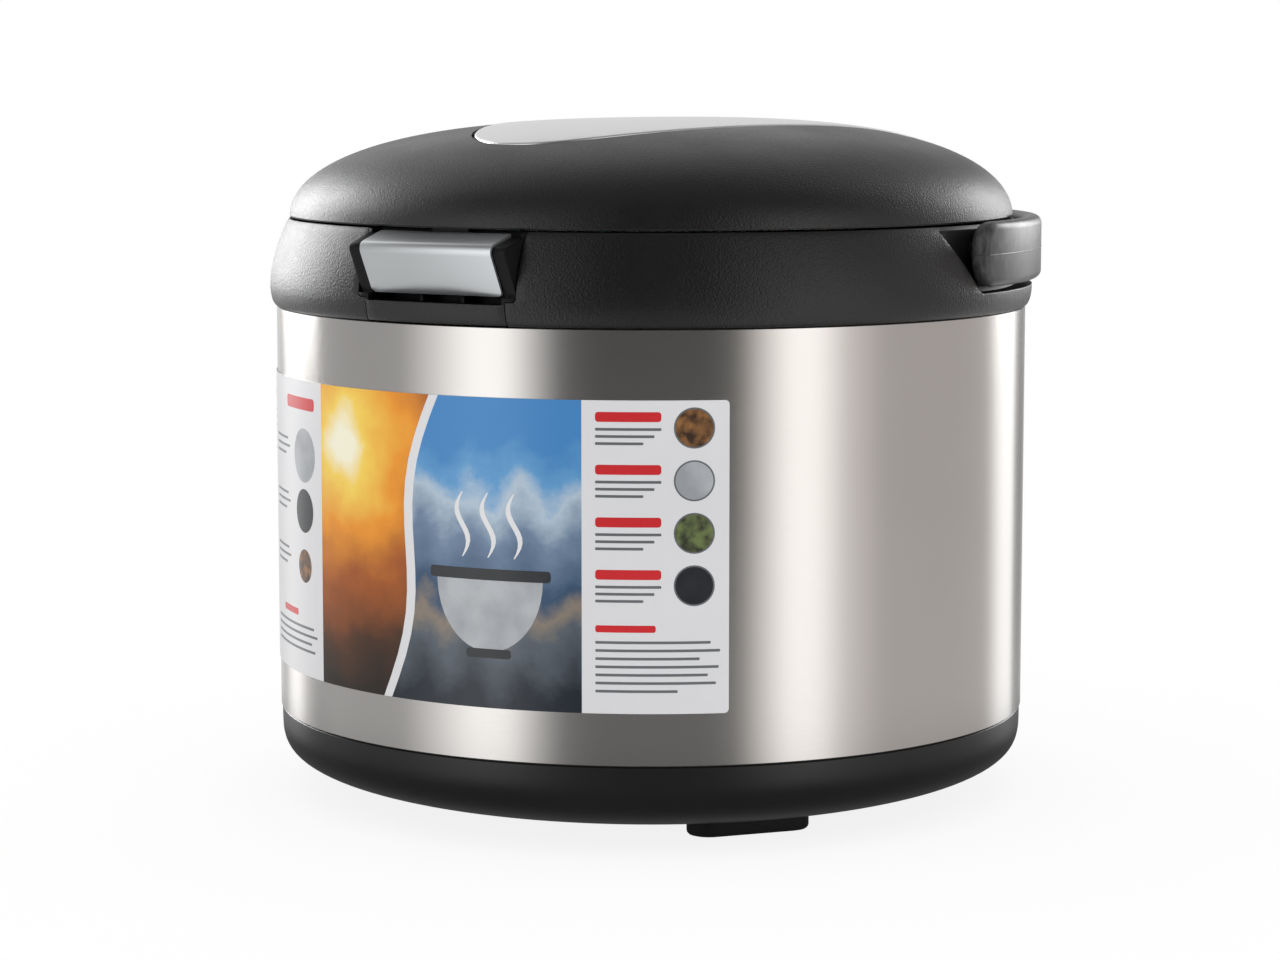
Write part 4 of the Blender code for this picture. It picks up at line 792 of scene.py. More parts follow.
@dataclass(frozen=True)
class Base:
    """Bowl-shaped base cover with its feet, screws and floor plate."""

    sizes: Sizes
    setback: float = 0.0005
    wall: float = 0.0025
    depth_share: float = 1.283
    depth_power: float = 4.47
    radius_power: float = 1.65
    spacing_power: float = 0.5
    curve_points: int = 26
    spigot_wall: float = 0.0025
    spigot_height: float = 0.0045
    lip: float = 0.0005
    screw_circle: float = 0.0800
    screw_count: int = 4
    boss: float = 0.0062
    well: float = 0.0043
    well_depth: float = 0.0177
    bore: float = 0.0023
    foot_circle: float = 0.1050
    foot_length: float = 0.0490
    foot_width: float = 0.0170
    foot_drop: float = 0.0065
    foot_socket: float = 0.0010
    foot_edge: float = 0.0016
    feet: tuple[tuple[str, float], ...] = (
        ("front_right", 52.8), ("rear_right", 127.2), ("rear_left", 232.8), ("front_left", 307.2))

    def radius(self, height: float) -> float:
        """Outer radius of the bowl at a height."""
        depth = (self.sizes.seam - height) / (self.sizes.seam * self.depth_share)
        bowl = (1.0 - max(0.0, depth) ** self.depth_power) ** (1.0 / self.radius_power)
        return (self.sizes.body - self.setback) * bowl

    def cover(self) -> BMesh:
        """Turn the bowl's wall.

        Returns:
            The closed shape.
        """
        seam = self.sizes.seam
        ledge = seam - MOULD.gap
        last = self.curve_points - 1
        levels = [ledge * (1.0 - (index / last) ** self.spacing_power) for index in range(self.curve_points)]
        outer = [(self.radius(level), level) for level in levels]
        edge = outer[0][0]
        squeeze = (seam - self.wall) / seam
        inner = [(radius - self.wall, self.wall + level * squeeze) for radius, level in reversed(outer[1:])]
        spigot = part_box("insulation_foam")[1].x
        top = seam + self.spigot_height
        rim = [(spigot - self.spigot_wall, seam), (spigot - self.spigot_wall, top), (spigot, top),
               (spigot, ledge), (edge - self.lip, ledge), (edge, ledge - self.lip)]
        curve = [point for point in outer[1:] if point[1] < ledge - self.lip * 2]
        return turned([(0.0, self.wall), *inner, *rim, *curve, (0.0, 0.0)])

    def foot(self, angle: float, margin: float, low: float, high: float) -> BMesh:
        """Make a pad with round ends, its length along the rim.

        Args:
            angle: Its place, in degrees from the front.
            margin: How far its outline is set out.
            low: Its lowest level.
            high: Its highest level.

        Returns:
            The closed shape.
        """
        half = self.foot_width / 2 + margin
        reach = (self.foot_length - self.foot_width) / 2
        right = arc((reach, 0.0), half, -math.pi / 2, math.pi / 2, 15)
        turn = Matrix.Rotation(math.radians(angle), 4, "Z")
        place = Matrix.Translation(polar(self.foot_circle, angle, 0.0))
        return prism(right + mirrored(right), low, high, place @ turn)

    def build(self) -> None:
        """Make the base cover, the feet and the screws."""
        cuts = []
        for index in range(self.screw_count):
            spot = polar(self.screw_circle, 360.0 * index / self.screw_count, 0.0)
            top = spot + UP * (self.sizes.seam + MOULD.gap)
            cuts.append((Cut.JOIN, rod(spot + UP * self.wall / 2, top, self.boss)))
            cuts.append((Cut.TAKE, rod(spot - UP * MOULD.overrun, spot + UP * self.well_depth, self.well)))
            cuts.append((Cut.TAKE, rod(spot, top + UP * MOULD.overrun, self.bore)))
        for _, angle in self.feet:
            cuts.append((Cut.TAKE, self.foot(angle, MOULD.gap, -MOULD.overrun, self.foot_socket)))
        finished("fine_base_cover", self.cover(), Palette.SATIN, Body.COOKER, ("base_cover",), tuple(cuts))
        for name, angle in self.feet:
            pad = self.foot(angle, 0.0, -self.foot_drop, self.foot_socket - MOULD.gap)
            finished("fine_foot_" + name, pad, Palette.RUBBER, Body.COOKER, ("foot_" + name,),
                     edge=self.foot_edge, edge_steps=3)
        for index in range(self.screw_count):
            Screw(f"base_screw_{index + 1}", UP, Fixing.BASE).build(Body.COOKER)
        dressed(Palette.ZINC, "shell_floor")


@dataclass(frozen=True)
class Shell:
    """Brushed steel sleeve of the body, with its liner and foam."""

    sizes: Sizes
    wall: float = 0.0008
    roll: float = 0.0003
    liner_wall: float = 0.0008
    flange_width: float = 0.0070
    corner: float = 0.0100
    corner_points: int = 10

    def corner_line(self, radius: float, bottom: float, corner: float) -> Outline:
        """A straight wall round a corner to a flat bottom, going down."""
        return arc((radius - corner, bottom + corner), corner, 0.0, -math.pi / 2, self.corner_points)

    def build(self) -> None:
        """Make the sleeve and the liner, and dress the foam."""
        inner = self.sizes.body - self.wall
        low, high = self.sizes.seam, self.sizes.shell_top
        body = self.sizes.body
        sleeve = [(inner, high), (body - self.roll, high), (body, high - self.roll), (body, low + self.roll),
                  (body - self.roll, low), (inner, low)]
        finished("fine_outer_shell", turned(sleeve, closed=True, steps=MOULD.round_steps * 2),
                 Palette.BRUSHED, Body.COOKER, ("outer_shell",))
        box_low, box_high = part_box("inner_liner")
        flange = box_high.x
        wall = self.liner_wall
        radius = flange - self.flange_width
        outside = self.corner_line(radius + wall, box_low.z, self.corner + wall)
        inside = self.corner_line(radius, box_low.z + wall, self.corner)
        top = box_high.z
        rim = [(radius, top), (flange, top), (flange, top - wall), (radius + wall, top - wall)]
        profile = [(0.0, inside[-1][1]), *reversed(inside), *rim, *outside, (0.0, box_low.z)]
        finished("fine_inner_liner", turned(profile), Palette.POLISHED, Body.COOKER, ("inner_liner",))
        dressed(Palette.FOAM, "insulation_foam")


@dataclass(frozen=True)
class Wrap:
    """Printed film round the front of the sleeve, in a plain design of panels, rules and discs."""

    sizes: Sizes
    left: float = -0.1700
    right: float = 0.1128
    low: float = 0.0482
    high: float = 0.1630
    corner: float = 0.0016
    stand_off: float = 0.0002
    film: float = 0.00022
    ink: float = 0.00004
    ink_bite: float = 1.5
    strip: float = 0.0030
    warm_left: float = -0.0640
    cool_right: float = 0.0590
    divider: float = 0.0042
    divider_top: float = -0.0020
    divider_bottom: float = -0.0250
    divider_swing: float = 0.0050
    divider_points: int = 15
    rule: float = 0.0010
    bowl_middle: float = 0.0230
    bowl_rim: float = 0.0960
    bowl_radius: float = 0.0215
    bowl_stretch: float = 1.25
    curl_swing: float = 0.0024
    curl_tip: float = 0.25
    curl_points: int = 13
    text_left: float = 0.0640
    disc_place: float = 0.1000
    row_pitch: float = 0.0192
    side_left: float = -0.1220
    side_pitch: float = 0.0215
    back_left: float = -0.1640

    def sheet(self, outline: Outline, layer: int) -> BMesh:
        """Wrap a flat outline round the sleeve.

        Args:
            outline: Points as length round the sleeve from the front, and height.
            layer: 0 for the film, and higher for each ink on top.

        Returns:
            The closed shape with its own map.
        """
        start = self.sizes.body + self.stand_off
        surface = start + self.film + self.ink * layer
        under = start if layer == 0 else surface - self.ink * self.ink_bite
        shape = prism(outline, under, surface)
        first = min(across for across, _ in outline)
        last = max(across for across, _ in outline)
        for index in range(1, math.ceil((last - first) / self.strip)):
            sliced(shape, Vector((first + index * self.strip, 0.0, 0.0)), Vector((1.0, 0.0, 0.0)))
        sheet_map = shape.loops.layers.uv.new("UVMap")
        for face in shape.faces:
            for loop in face.loops:
                loop[sheet_map].uv = loop.vert.co.xy
        for vert in shape.verts:
            vert.co = polar(vert.co.z, math.degrees(vert.co.x / self.sizes.body), vert.co.y)
        return shape

    def ink_shape(self, name: str, outline: Outline, finish: Finish, layer: int = 1,
                  nodes: tuple[str, ...] = ()) -> None:
        """Print one shape on the film.

        Args:
            name: The piece's name.
            outline: Its outline on the flat film.
            finish: Its ink.
            layer: How many inks lie under it, plus one.
            nodes: Nodes of the frame that it stands for.
        """
        finished("wrap_" + name, self.sheet(outline, layer), finish, Body.COOKER, nodes)

    def bar(self, left: float, right: float, middle: float, height: float) -> Outline:
        """A bar with rounded corners."""
        half = height / 2
        low, high = middle - half, middle + half
        return rounded([(left, low), (right, low), (right, high), (left, high)], half * 0.6, 4)

    def disc(self, across: float, height: float, radius: float) -> Outline:
        """A round disc."""
        return arc((across, height), radius, 0.0, math.tau, 33)[:-1]

    def divider_line(self, offset: float) -> Outline:
        """The slanting wave between the two pictures, from its foot up."""
        points = []
        for index in range(self.divider_points):
            share = index / (self.divider_points - 1)
            lean = self.divider_bottom + (self.divider_top - self.divider_bottom) * share
            swing = self.divider_swing * math.sin(math.tau * share)
            points.append((lean + swing + offset, self.low + (self.high - self.low) * share))
        return points

    def pictures(self) -> None:
        """Print the warm panel, the cool panel and the bowl in it."""
        warm = [(self.warm_left, self.high), (self.warm_left, self.low), *self.divider_line(0.0)]
        self.ink_shape("warm_panel", warm, Palette.GLOW)
        cool = [*reversed(self.divider_line(self.divider)), (self.cool_right, self.low),
                (self.cool_right, self.high)]
        self.ink_shape("cool_panel", cool, Palette.WAVES)
        middle, rim = self.bowl_middle, self.bowl_rim
        bowl = [(x, rim + (y - rim) * self.bowl_stretch)
                for x, y in arc((middle, rim), self.bowl_radius, -math.pi, 0.0, 25)]
        self.ink_shape("bowl", bowl, Palette.PALE_INK, 2)
        self.ink_shape("bowl_rim", self.bar(middle - 0.0245, middle + 0.0245, rim + 0.0018, 0.0042),
                       Palette.DARK_INK, 3)
        self.ink_shape("bowl_foot", self.bar(middle - 0.0090, middle + 0.0090, rim - 0.0275, 0.0034),
                       Palette.DARK_INK, 3)
        for index, shift in enumerate((-0.0105, 0.0, 0.0105)):
            self.ink_shape(f"steam_{index + 1}", self.curl(middle + shift, rim + 0.0080, 0.0240, 0.0019),
                           Palette.FILM, 2)

    def curl(self, across: float, start: float, height: float, width: float) -> Outline:
        """A wavy stroke that tapers to its ends."""
        sides: list[Outline] = [[], []]
        for index in range(self.curl_points):
            share = index / (self.curl_points - 1)
            middle = across + self.curl_swing * math.sin(math.tau * share)
            half = width / 2 * (self.curl_tip + math.sin(math.pi * share))
            for side, points in zip((1.0, -1.0), sides):
                points.append((middle + side * half, start + height * share))
        return sides[0] + list(reversed(sides[1]))

    def rules(self, name: str, left: float, top: float, pitch: float, lengths: list[float]) -> None:
        """Print a block of thin grey rules.

        Args:
            name: The block's name.
            left: Where each rule starts.
            top: The level of the first one.
            pitch: The step down to the next one.
            lengths: The length of each.
        """
        for index, length in enumerate(lengths):
            self.ink_shape(f"{name}_rule_{index + 1}",
                           self.bar(left, left + length, top - pitch * index, self.rule), Palette.GREY_INK)

    def right_panel(self) -> None:
        """Print rows of a bar, rules and a disc, and a block of rules under them."""
        discs = (Palette.OCHRE_INK, Palette.PALE_INK, Palette.GREEN_INK, Palette.DARK_INK)
        for index, finish in enumerate(discs):
            level = self.high - 0.0060 - self.row_pitch * index
            row = f"row_{index + 1}"
            self.ink_shape(row + "_bar", self.bar(self.text_left, 0.0880, level, 0.0036), Palette.RED_INK)
            self.rules(row, self.text_left, level - 0.0045, 0.0026, [0.0240, 0.0215, 0.0175])
            ring, disc = [self.disc(self.disc_place, level - 0.0040, radius) for radius in (0.0075, 0.0069)]
            self.ink_shape(row + "_ring", ring, Palette.GREY_INK)
            self.ink_shape(row + "_disc", disc, finish, 2)
        self.ink_shape("foot_bar", self.bar(self.text_left, 0.0860, 0.0795, 0.0026), Palette.RED_INK)
        self.rules("foot", self.text_left, 0.0745, 0.0030,
                   [0.0420, 0.0455, 0.0380, 0.0450, 0.0410, 0.0440, 0.0300])

    def left_panel(self) -> None:
        """Print the bars, discs and rules of the side that turns away."""
        self.ink_shape("side_bar", self.bar(-0.1000, -0.0700, 0.1540, 0.0048), Palette.RED_INK)
        for index, (finish, radius) in enumerate(((Palette.PALE_INK, 0.0105), (Palette.DARK_INK, 0.0085),
                                                  (Palette.OCHRE_INK, 0.0065))):
            drop = self.side_pitch * index
            self.ink_shape(f"side_disc_{index + 1}", self.disc(-0.0800, 0.1340 - drop, radius), finish)
            self.rules(f"side_{index + 1}", self.side_left, 0.1390 - drop, 0.0030, [0.0220, 0.0250, 0.0190])
        self.ink_shape("side_foot_bar", self.bar(-0.1080, -0.0880, 0.0720, 0.0026), Palette.RED_INK)
        self.rules("side_foot", self.side_left, 0.0670, 0.0030, [0.0500, 0.0530, 0.0480, 0.0510])
        self.ink_shape("back_bar", self.bar(self.back_left, -0.1340, 0.1540, 0.0036), Palette.RED_INK)
        self.rules("back", self.back_left, 0.1470, 0.0030,
                   [0.0310, 0.0290, 0.0320, 0.0270, 0.0300, 0.0310, 0.0240])

    def build(self) -> None:
        """Make the film and all its inks."""
        left, right, low, high = self.left, self.right, self.low, self.high
        corners = [(left, low), (right, low), (right, high), (left, high)]
        self.ink_shape("film", rounded(corners, self.corner, 6), Palette.FILM, 0, ("label",))
        self.pictures()
        self.right_panel()
        self.left_panel()


@dataclass(frozen=True)
class Pot:
    """Cooking pot with its loops, lid and knob."""

    wall: float = 0.0010
    bead: float = 0.0029
    corner: float = 0.0120
    corner_points: int = 10
    loop_wire: float = 0.0020
    loop_span: float = 0.0620
    loop_corner: float = 0.0090
    pad_width: float = 0.0140
    pad_length: float = 0.0120
    lid_wall: float = 0.0008
    lid_rise: float = 0.0090
    lid_skirt: float = 0.0022
    lid_points: int = 14
    knob_edge: float = 0.0045
    knob_neck: float = 0.0090
    screw_bore: float = 0.0023

    def vessel(self) -> None:
        """Turn the pot with its rolled rim."""
        low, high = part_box("inner_pot")
        bead = high.x
        radius = bead - self.bead
        center = (radius - self.corner, low.z + self.corner)
        outside, inside = [arc(center, corner, 0.0, -math.pi / 2, self.corner_points)
                           for corner in (self.corner, self.corner - self.wall)]
        half = self.bead / 2
        roll = arc((bead - half, high.z - half), half, math.pi / 2, -math.pi / 2, 9)
        rim = [(radius - self.wall, high.z), *roll, (radius, high.z - self.bead)]
        profile = [(0.0, inside[-1][1]), *reversed(inside), *rim, *outside, (0.0, low.z)]
        finished("fine_inner_pot", turned(profile), Palette.POLISHED, Body.COOKER, ("inner_pot",))
        dressed(Palette.BRUSHED, "pot_base_disc")

    def loops(self) -> None:
        """Bend the two wire loops and weld their pads on."""
        for name, side in (("right", 1.0), ("left", -1.0)):
            node = "pot_handle_" + name
            low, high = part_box(node)
            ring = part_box("inner_pot")[1].x + MOULD.gap + self.loop_wire
            foot = low.z + self.pad_length / 2
            top = high.z - self.loop_wire
            half = self.loop_span / 2
            corner = arc((half - self.loop_corner, top - self.loop_corner), self.loop_corner, 0.0,
                         math.pi / 2, 9)
            path = [(half, foot), (half, (foot + top) / 2), *corner]
            path += [(0.0, top)] + mirrored(path)
            curve = bpy.data.curves.new(node, "CURVE")
            curve.dimensions = "3D"
            curve.bevel_depth = self.loop_wire
            curve.bevel_resolution = 4
            curve.use_fill_caps = True
            spline = curve.splines.new("POLY")
            spline.points.add(len(path) - 1)
            for point, (along, level) in zip(spline.points, path):
                point.co = (side * ring * math.cos(along / ring), ring * math.sin(along / ring), level, 1.0)
            guide = linked(node, curve)
            shape = bmesh.new()
            shape.from_mesh(evaluated(guide))
            bpy.data.objects.remove(guide)
            bmesh.ops.remove_doubles(shape, verts=shape.verts, dist=MOULD.weld)
            bmesh.ops.recalc_face_normals(shape, faces=shape.faces)
            pads = tuple((Cut.JOIN, self.pad(ring, side, way * half / ring, foot)) for way in (-1.0, 1.0))
            finished("fine_" + node, shape, Palette.POLISHED, Body.COOKER, (node,), pads)

    def pad(self, ring: float, side: float, turn: float, level: float) -> BMesh:
        """Make a welded pad behind a foot of a loop."""
        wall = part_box("inner_pot")[1].x - self.bead + MOULD.gap
        start = 0.0 if side > 0.0 else math.pi
        shape = block((wall, -self.pad_width / 2, level - self.pad_length / 2),
                      (ring, self.pad_width / 2, level + self.pad_length / 2))
        bmesh.ops.transform(shape, matrix=Matrix.Rotation(start + turn, 4, "Z"), verts=shape.verts)
        return shape

    def lid(self) -> None:
        """Turn the pot lid and its knob, and place the knob's screw."""
        low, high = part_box("pot_lid")
        edge = high.x
        shares = [index / (self.lid_points - 1) for index in range(self.lid_points)]
        foot = low.z + self.lid_skirt
        inner = [((edge - self.lid_wall) * share, foot + self.lid_rise * (1.0 - share * share))
                 for share in shares]
        outer = [(edge * share, level + self.lid_wall) for share, (_, level) in zip(shares, inner)]
        profile = [*outer, (edge, low.z), (edge - self.lid_wall, low.z), *reversed(inner)]
        bore = rod((0.0, 0.0, low.z), (0.0, 0.0, high.z + MOULD.overrun), self.screw_bore)
        finished("fine_pot_lid", turned(profile), Palette.POLISHED, Body.COOKER, ("pot_lid",),
                 ((Cut.TAKE, bore),))
        low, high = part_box("pot_lid_knob")
        round_edge = arc((high.x - self.knob_edge, high.z - self.knob_edge), self.knob_edge, math.pi / 2,
                         -math.pi / 4, 9)
        knob = [(0.0, high.z), *round_edge, (self.knob_neck, low.z + self.knob_edge), (self.knob_neck, low.z),
                (0.0, low.z)]
        bore = rod((0.0, 0.0, low.z - MOULD.overrun), (0.0, 0.0, (low.z + high.z) / 2), self.screw_bore)
        finished("fine_pot_lid_knob", turned(knob, steps=MOULD.small_steps * 2), Palette.SATIN, Body.COOKER,
                 ("pot_lid_knob",), ((Cut.TAKE, bore),))
        Screw("pot_lid_screw", UP, Fixing.KNOB).build(Body.COOKER)

    def build(self) -> None:
        """Make the whole pot."""
        self.vessel()
        self.loops()
        self.lid()


@dataclass(frozen=True)
class Collar:
    """Moulded collar with its channel, latch recess and hinge slot."""

    sizes: Sizes
    handle: "Handle"
    wall: float = 0.0050
    deck_wall: float = 0.0030
    spigot: float = 0.0059
    spigot_wall: float = 0.0025
    ledge_depth: float = 0.0048
    neck_depth: float = 0.0135
    neck_wall: float = 0.0025
    neck_inset: float = 0.0059
    step_margin: float = 0.0015
    channel_setback: float = 0.0025
    side_points: int = 16
    foot_points: int = 10
    edge: float = 0.00045
    slant: float = math.radians(36.7)
    slant_margin: float = 0.0033
    ledge_margin: float = 0.0024
    slant_foot: float = 0.0030
    slant_foot_points: int = 7
    wall_relief: float = 0.0018
    boss_radius: float = 0.0075
    boss_depth: float = 0.0080
    pivot_cap: float = 0.0022
    recess_half: float = 0.0355
    recess_drop: float = 0.0258
    recess_corner: float = 0.0016
    recess_back: float = 0.0011
    tab_half: float = 0.0315
    bracket_inset: float = 0.0012
    block_depth: float = 0.0090
    barrel: float = 0.0038
    hinge_drop: float = 0.0190
    screw_bore: float = 0.0017

    @property
    def step(self) -> float:
        """Radius of the step that the lid sinks into."""
        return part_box("inner_liner")[1].x + self.step_margin

    @property
    def channel(self) -> float:
        """Radius of the wall behind the handle."""
        return self.sizes.body - self.channel_setback

    @property
    def cavity(self) -> float:
        """Inner radius of the collar's outer wall."""
        return self.channel - self.wall

    def radius(self, level: float) -> float:
        """Outer radius of the collar at a level."""
        sizes = self.sizes
        bulge = sizes.collar_low + sizes.bulge_height
        foot = sizes.body - sizes.collar_foot_setback
        if level < bulge:
            drop = (bulge - level) / sizes.bulge_height
            return foot + (sizes.collar - foot) * math.sqrt(max(0.0, 1.0 - drop * drop))
        rise = (level - bulge) / (sizes.lid_level - bulge)
        return sizes.collar - (sizes.collar - sizes.collar_top) * rise**sizes.collar_power

    def side(self) -> Outline:
        """Outer side of the collar, from the deck down to the sleeve."""
        bulge = self.sizes.collar_low + self.sizes.bulge_height
        step = (bulge - self.sizes.deck) / self.side_points
        levels = [self.sizes.deck + step * index for index in range(self.side_points + 1)]
        turns = [math.pi / 2 * (index + 1) / self.foot_points for index in range(self.foot_points)]
        levels += [bulge - self.sizes.bulge_height * math.sin(turn) for turn in turns]
        return [(self.radius(level), level) for level in levels]

    def ring(self) -> BMesh:
        """Turn the collar."""
        sizes = self.sizes
        ledge = sizes.lid_level - self.ledge_depth
        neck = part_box("inner_liner")[1].x - self.neck_inset
        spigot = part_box("insulation_foam")[1].x
        low = sizes.collar_low - self.spigot
        ceiling = sizes.deck - self.deck_wall
        shelf = ledge - self.deck_wall
        floor = ledge - self.neck_depth
        edge = self.edge
        side = self.side()
        top = [(self.step, sizes.deck), (side[0][0] - edge, sizes.deck), (side[0][0], sizes.deck - edge)]
        profile = top + [point for point in side[1:] if point[1] < sizes.deck - edge * 2]
        profile += [(spigot, sizes.collar_low), (spigot, low), (spigot - self.spigot_wall, low)]
        outside = self.step + self.neck_wall
        profile += [(self.cavity, sizes.collar_low), (self.cavity, ceiling), (outside, ceiling)]
        profile += [(outside, shelf), (neck + self.neck_wall, shelf)]
        profile += [(neck + self.neck_wall, floor), (neck, floor), (neck, ledge), (self.step, ledge)]
        return turned(profile, closed=True)

    def ledge(self) -> float:
        """Level of the channel's ledge, under the round end of an arm."""
        low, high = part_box("handle_bail")
        return (low.z + high.z) / 2 - self.handle.reach((high.z - low.z) / 2) - self.ledge_margin

    def slanted(self, level: float) -> Point:
        """Point of the channel's slanting front edge at a level, as depth and level."""
        low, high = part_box("handle_bail")
        distance = (high.z - low.z) / 2 + self.slant_margin
        rise = (level - (low.z + high.z) / 2) * math.sin(self.slant)
        return -(distance + rise) / math.cos(self.slant), level

    def painted_shade_test(self) -> Callable[[Vector], bool]:
        """A test of whether a place on the collar lies inside it, in a recess or in the channel, where it
        gets painted shade.
        """
        ledge = self.ledge()
        front = self.slanted(ledge)[0]

        def gets_painted_shade(place: Vector) -> bool:
            if math.hypot(place.x, place.y) < self.radius(place.z) - MOULD.outer_skin:
                return True
            edge = front - (place.z - ledge) * math.tan(self.slant)
            return place.z > ledge and place.y > edge + MOULD.outer_skin

        return gets_painted_shade

    def channel_tool(self) -> BMesh:
        """Make the space round the back in which the handle lies, with a slanting front edge."""
        floor = self.ledge()
        outer = self.sizes.collar + MOULD.overrun
        top = self.sizes.lid_level + MOULD.overrun
        wall = self.channel - self.wall_relief
        shape = turned([(wall, top), (outer, top), (outer, floor), (wall, floor)], closed=True)
        back = outer + MOULD.overrun
        under = floor - MOULD.overrun
        over = top + MOULD.overrun
        corner = Vector(self.slanted(floor))
        first = Vector(self.slanted(floor + self.slant_foot))
        last = corner + Vector((self.slant_foot, 0.0))
        shares = [index / (self.slant_foot_points - 1) for index in range(self.slant_foot_points)]
        bend = [tuple(first.lerp(corner, share).lerp(corner.lerp(last, share), share)) for share in shares]
        outline = [self.slanted(over), *bend, (last.x, under), (back, under), (back, over)]
        keeper = prism(outline, -back, back, side_matrix())
        return combined(shape, Cut.KEEP, keeper)

    def build(self) -> None:
        """Make the collar with its cuts."""
        sizes = self.sizes
        face = hinge_axis()[0] - self.barrel + self.bracket_inset
        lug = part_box("hinge_bracket")[1].x
        bracket_low = sizes.deck - self.hinge_drop - MOULD.gap
        high = sizes.lid_level + MOULD.overrun
        front = -sizes.collar - MOULD.overrun * 2
        back = -self.step - self.recess_back
        recess_low = sizes.lid_level - self.recess_drop
        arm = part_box("handle_bail")[1].x
        pivot = sum(corner.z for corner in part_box("handle_bail")) / 2
        boss = self.cavity - self.boss_depth
        wide = lug + self.neck_wall
        cuts = [(Cut.JOIN, block((-wide, face - self.block_depth - self.bracket_inset,
                                  bracket_low - self.neck_wall),
                                 (wide, self.cavity + MOULD.gap * 3, sizes.deck - self.deck_wall / 2)))]
        for side in (-1.0, 1.0):
            end = side * (self.cavity + self.wall / 2)
            cuts.append((Cut.JOIN, rod((side * boss, 0.0, pivot), (end, 0.0, pivot), self.boss_radius)))
        cuts.append((Cut.TAKE, self.channel_tool()))
        for side in (-1.0, 1.0):
            cuts.append((Cut.TAKE, rod((side * (boss + self.pivot_cap), 0.0, pivot), (side * arm, 0.0, pivot),
                                       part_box("handle_pivot_right")[1].y + MOULD.gap)))
        corners = [(-self.recess_half, recess_low), (self.recess_half, recess_low), (self.recess_half, high),
                   (-self.recess_half, high)]
        cuts.append((Cut.TAKE, prism(rounded(corners, self.recess_corner), -back, -front, front_matrix())))
        cuts.append((Cut.TAKE, block((-self.tab_half, front, sizes.collar_low - MOULD.gap),
                                     (self.tab_half, back, recess_low + MOULD.overrun))))
        cuts.append((Cut.TAKE, block((-lug - MOULD.gap, face, bracket_low),
                                     (lug + MOULD.gap, sizes.collar + MOULD.overrun, high))))
        for node in ("hinge_screw_left", "hinge_screw_right"):
            low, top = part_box(node)
            x, z = (low.x + top.x) / 2, (low.z + top.z) / 2
            cuts.append((Cut.TAKE, rod((x, low.y - MOULD.gap, z), (x, sizes.body, z), self.screw_bore)))
        item = finished("fine_collar", self.ring(), Palette.GRAINED, Body.COOKER, ("collar",), tuple(cuts),
                        self.edge)
        # Faces inside the collar, in its recesses and in the channel get the darker finish: painted shade.
        refinish(item, self.painted_shade_test(), Palette.PAINTED_SHADE)


def front_matrix() -> Matrix:
    """Take an outline in (X, Z) to its place, with its thickness towards the front (-Y)."""
    return Matrix(((1.0, 0.0, 0.0, 0.0), (0.0, 0.0, -1.0, 0.0), (0.0, 1.0, 0.0, 0.0), (0.0, 0.0, 0.0, 1.0)))


def hinge_axis() -> tuple[float, float]:
    """Where the lid's hinge pin lies.

    Returns:
        Its distance behind the middle and its level.
    """
    low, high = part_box("hinge_pin")
    return (low.y + high.y) / 2, (low.z + high.z) / 2


def combined(shape: BMesh, way: Cut, other: BMesh) -> BMesh:
    """Combine two shapes into one.

    Args:
        shape: The first shape, which is used up.
        way: How they combine.
        other: The second shape, which is used up.

    Returns:
        The combined shape.
    """
    pair = [meshed(f"tool_{index}", solid) for index, solid in enumerate((shape, other))]
    cut(pair[0], way, pair[1])
    result = bmesh.new()
    result.from_mesh(evaluated(pair[0]))
    for item in pair:
        bpy.data.objects.remove(item)
    return result


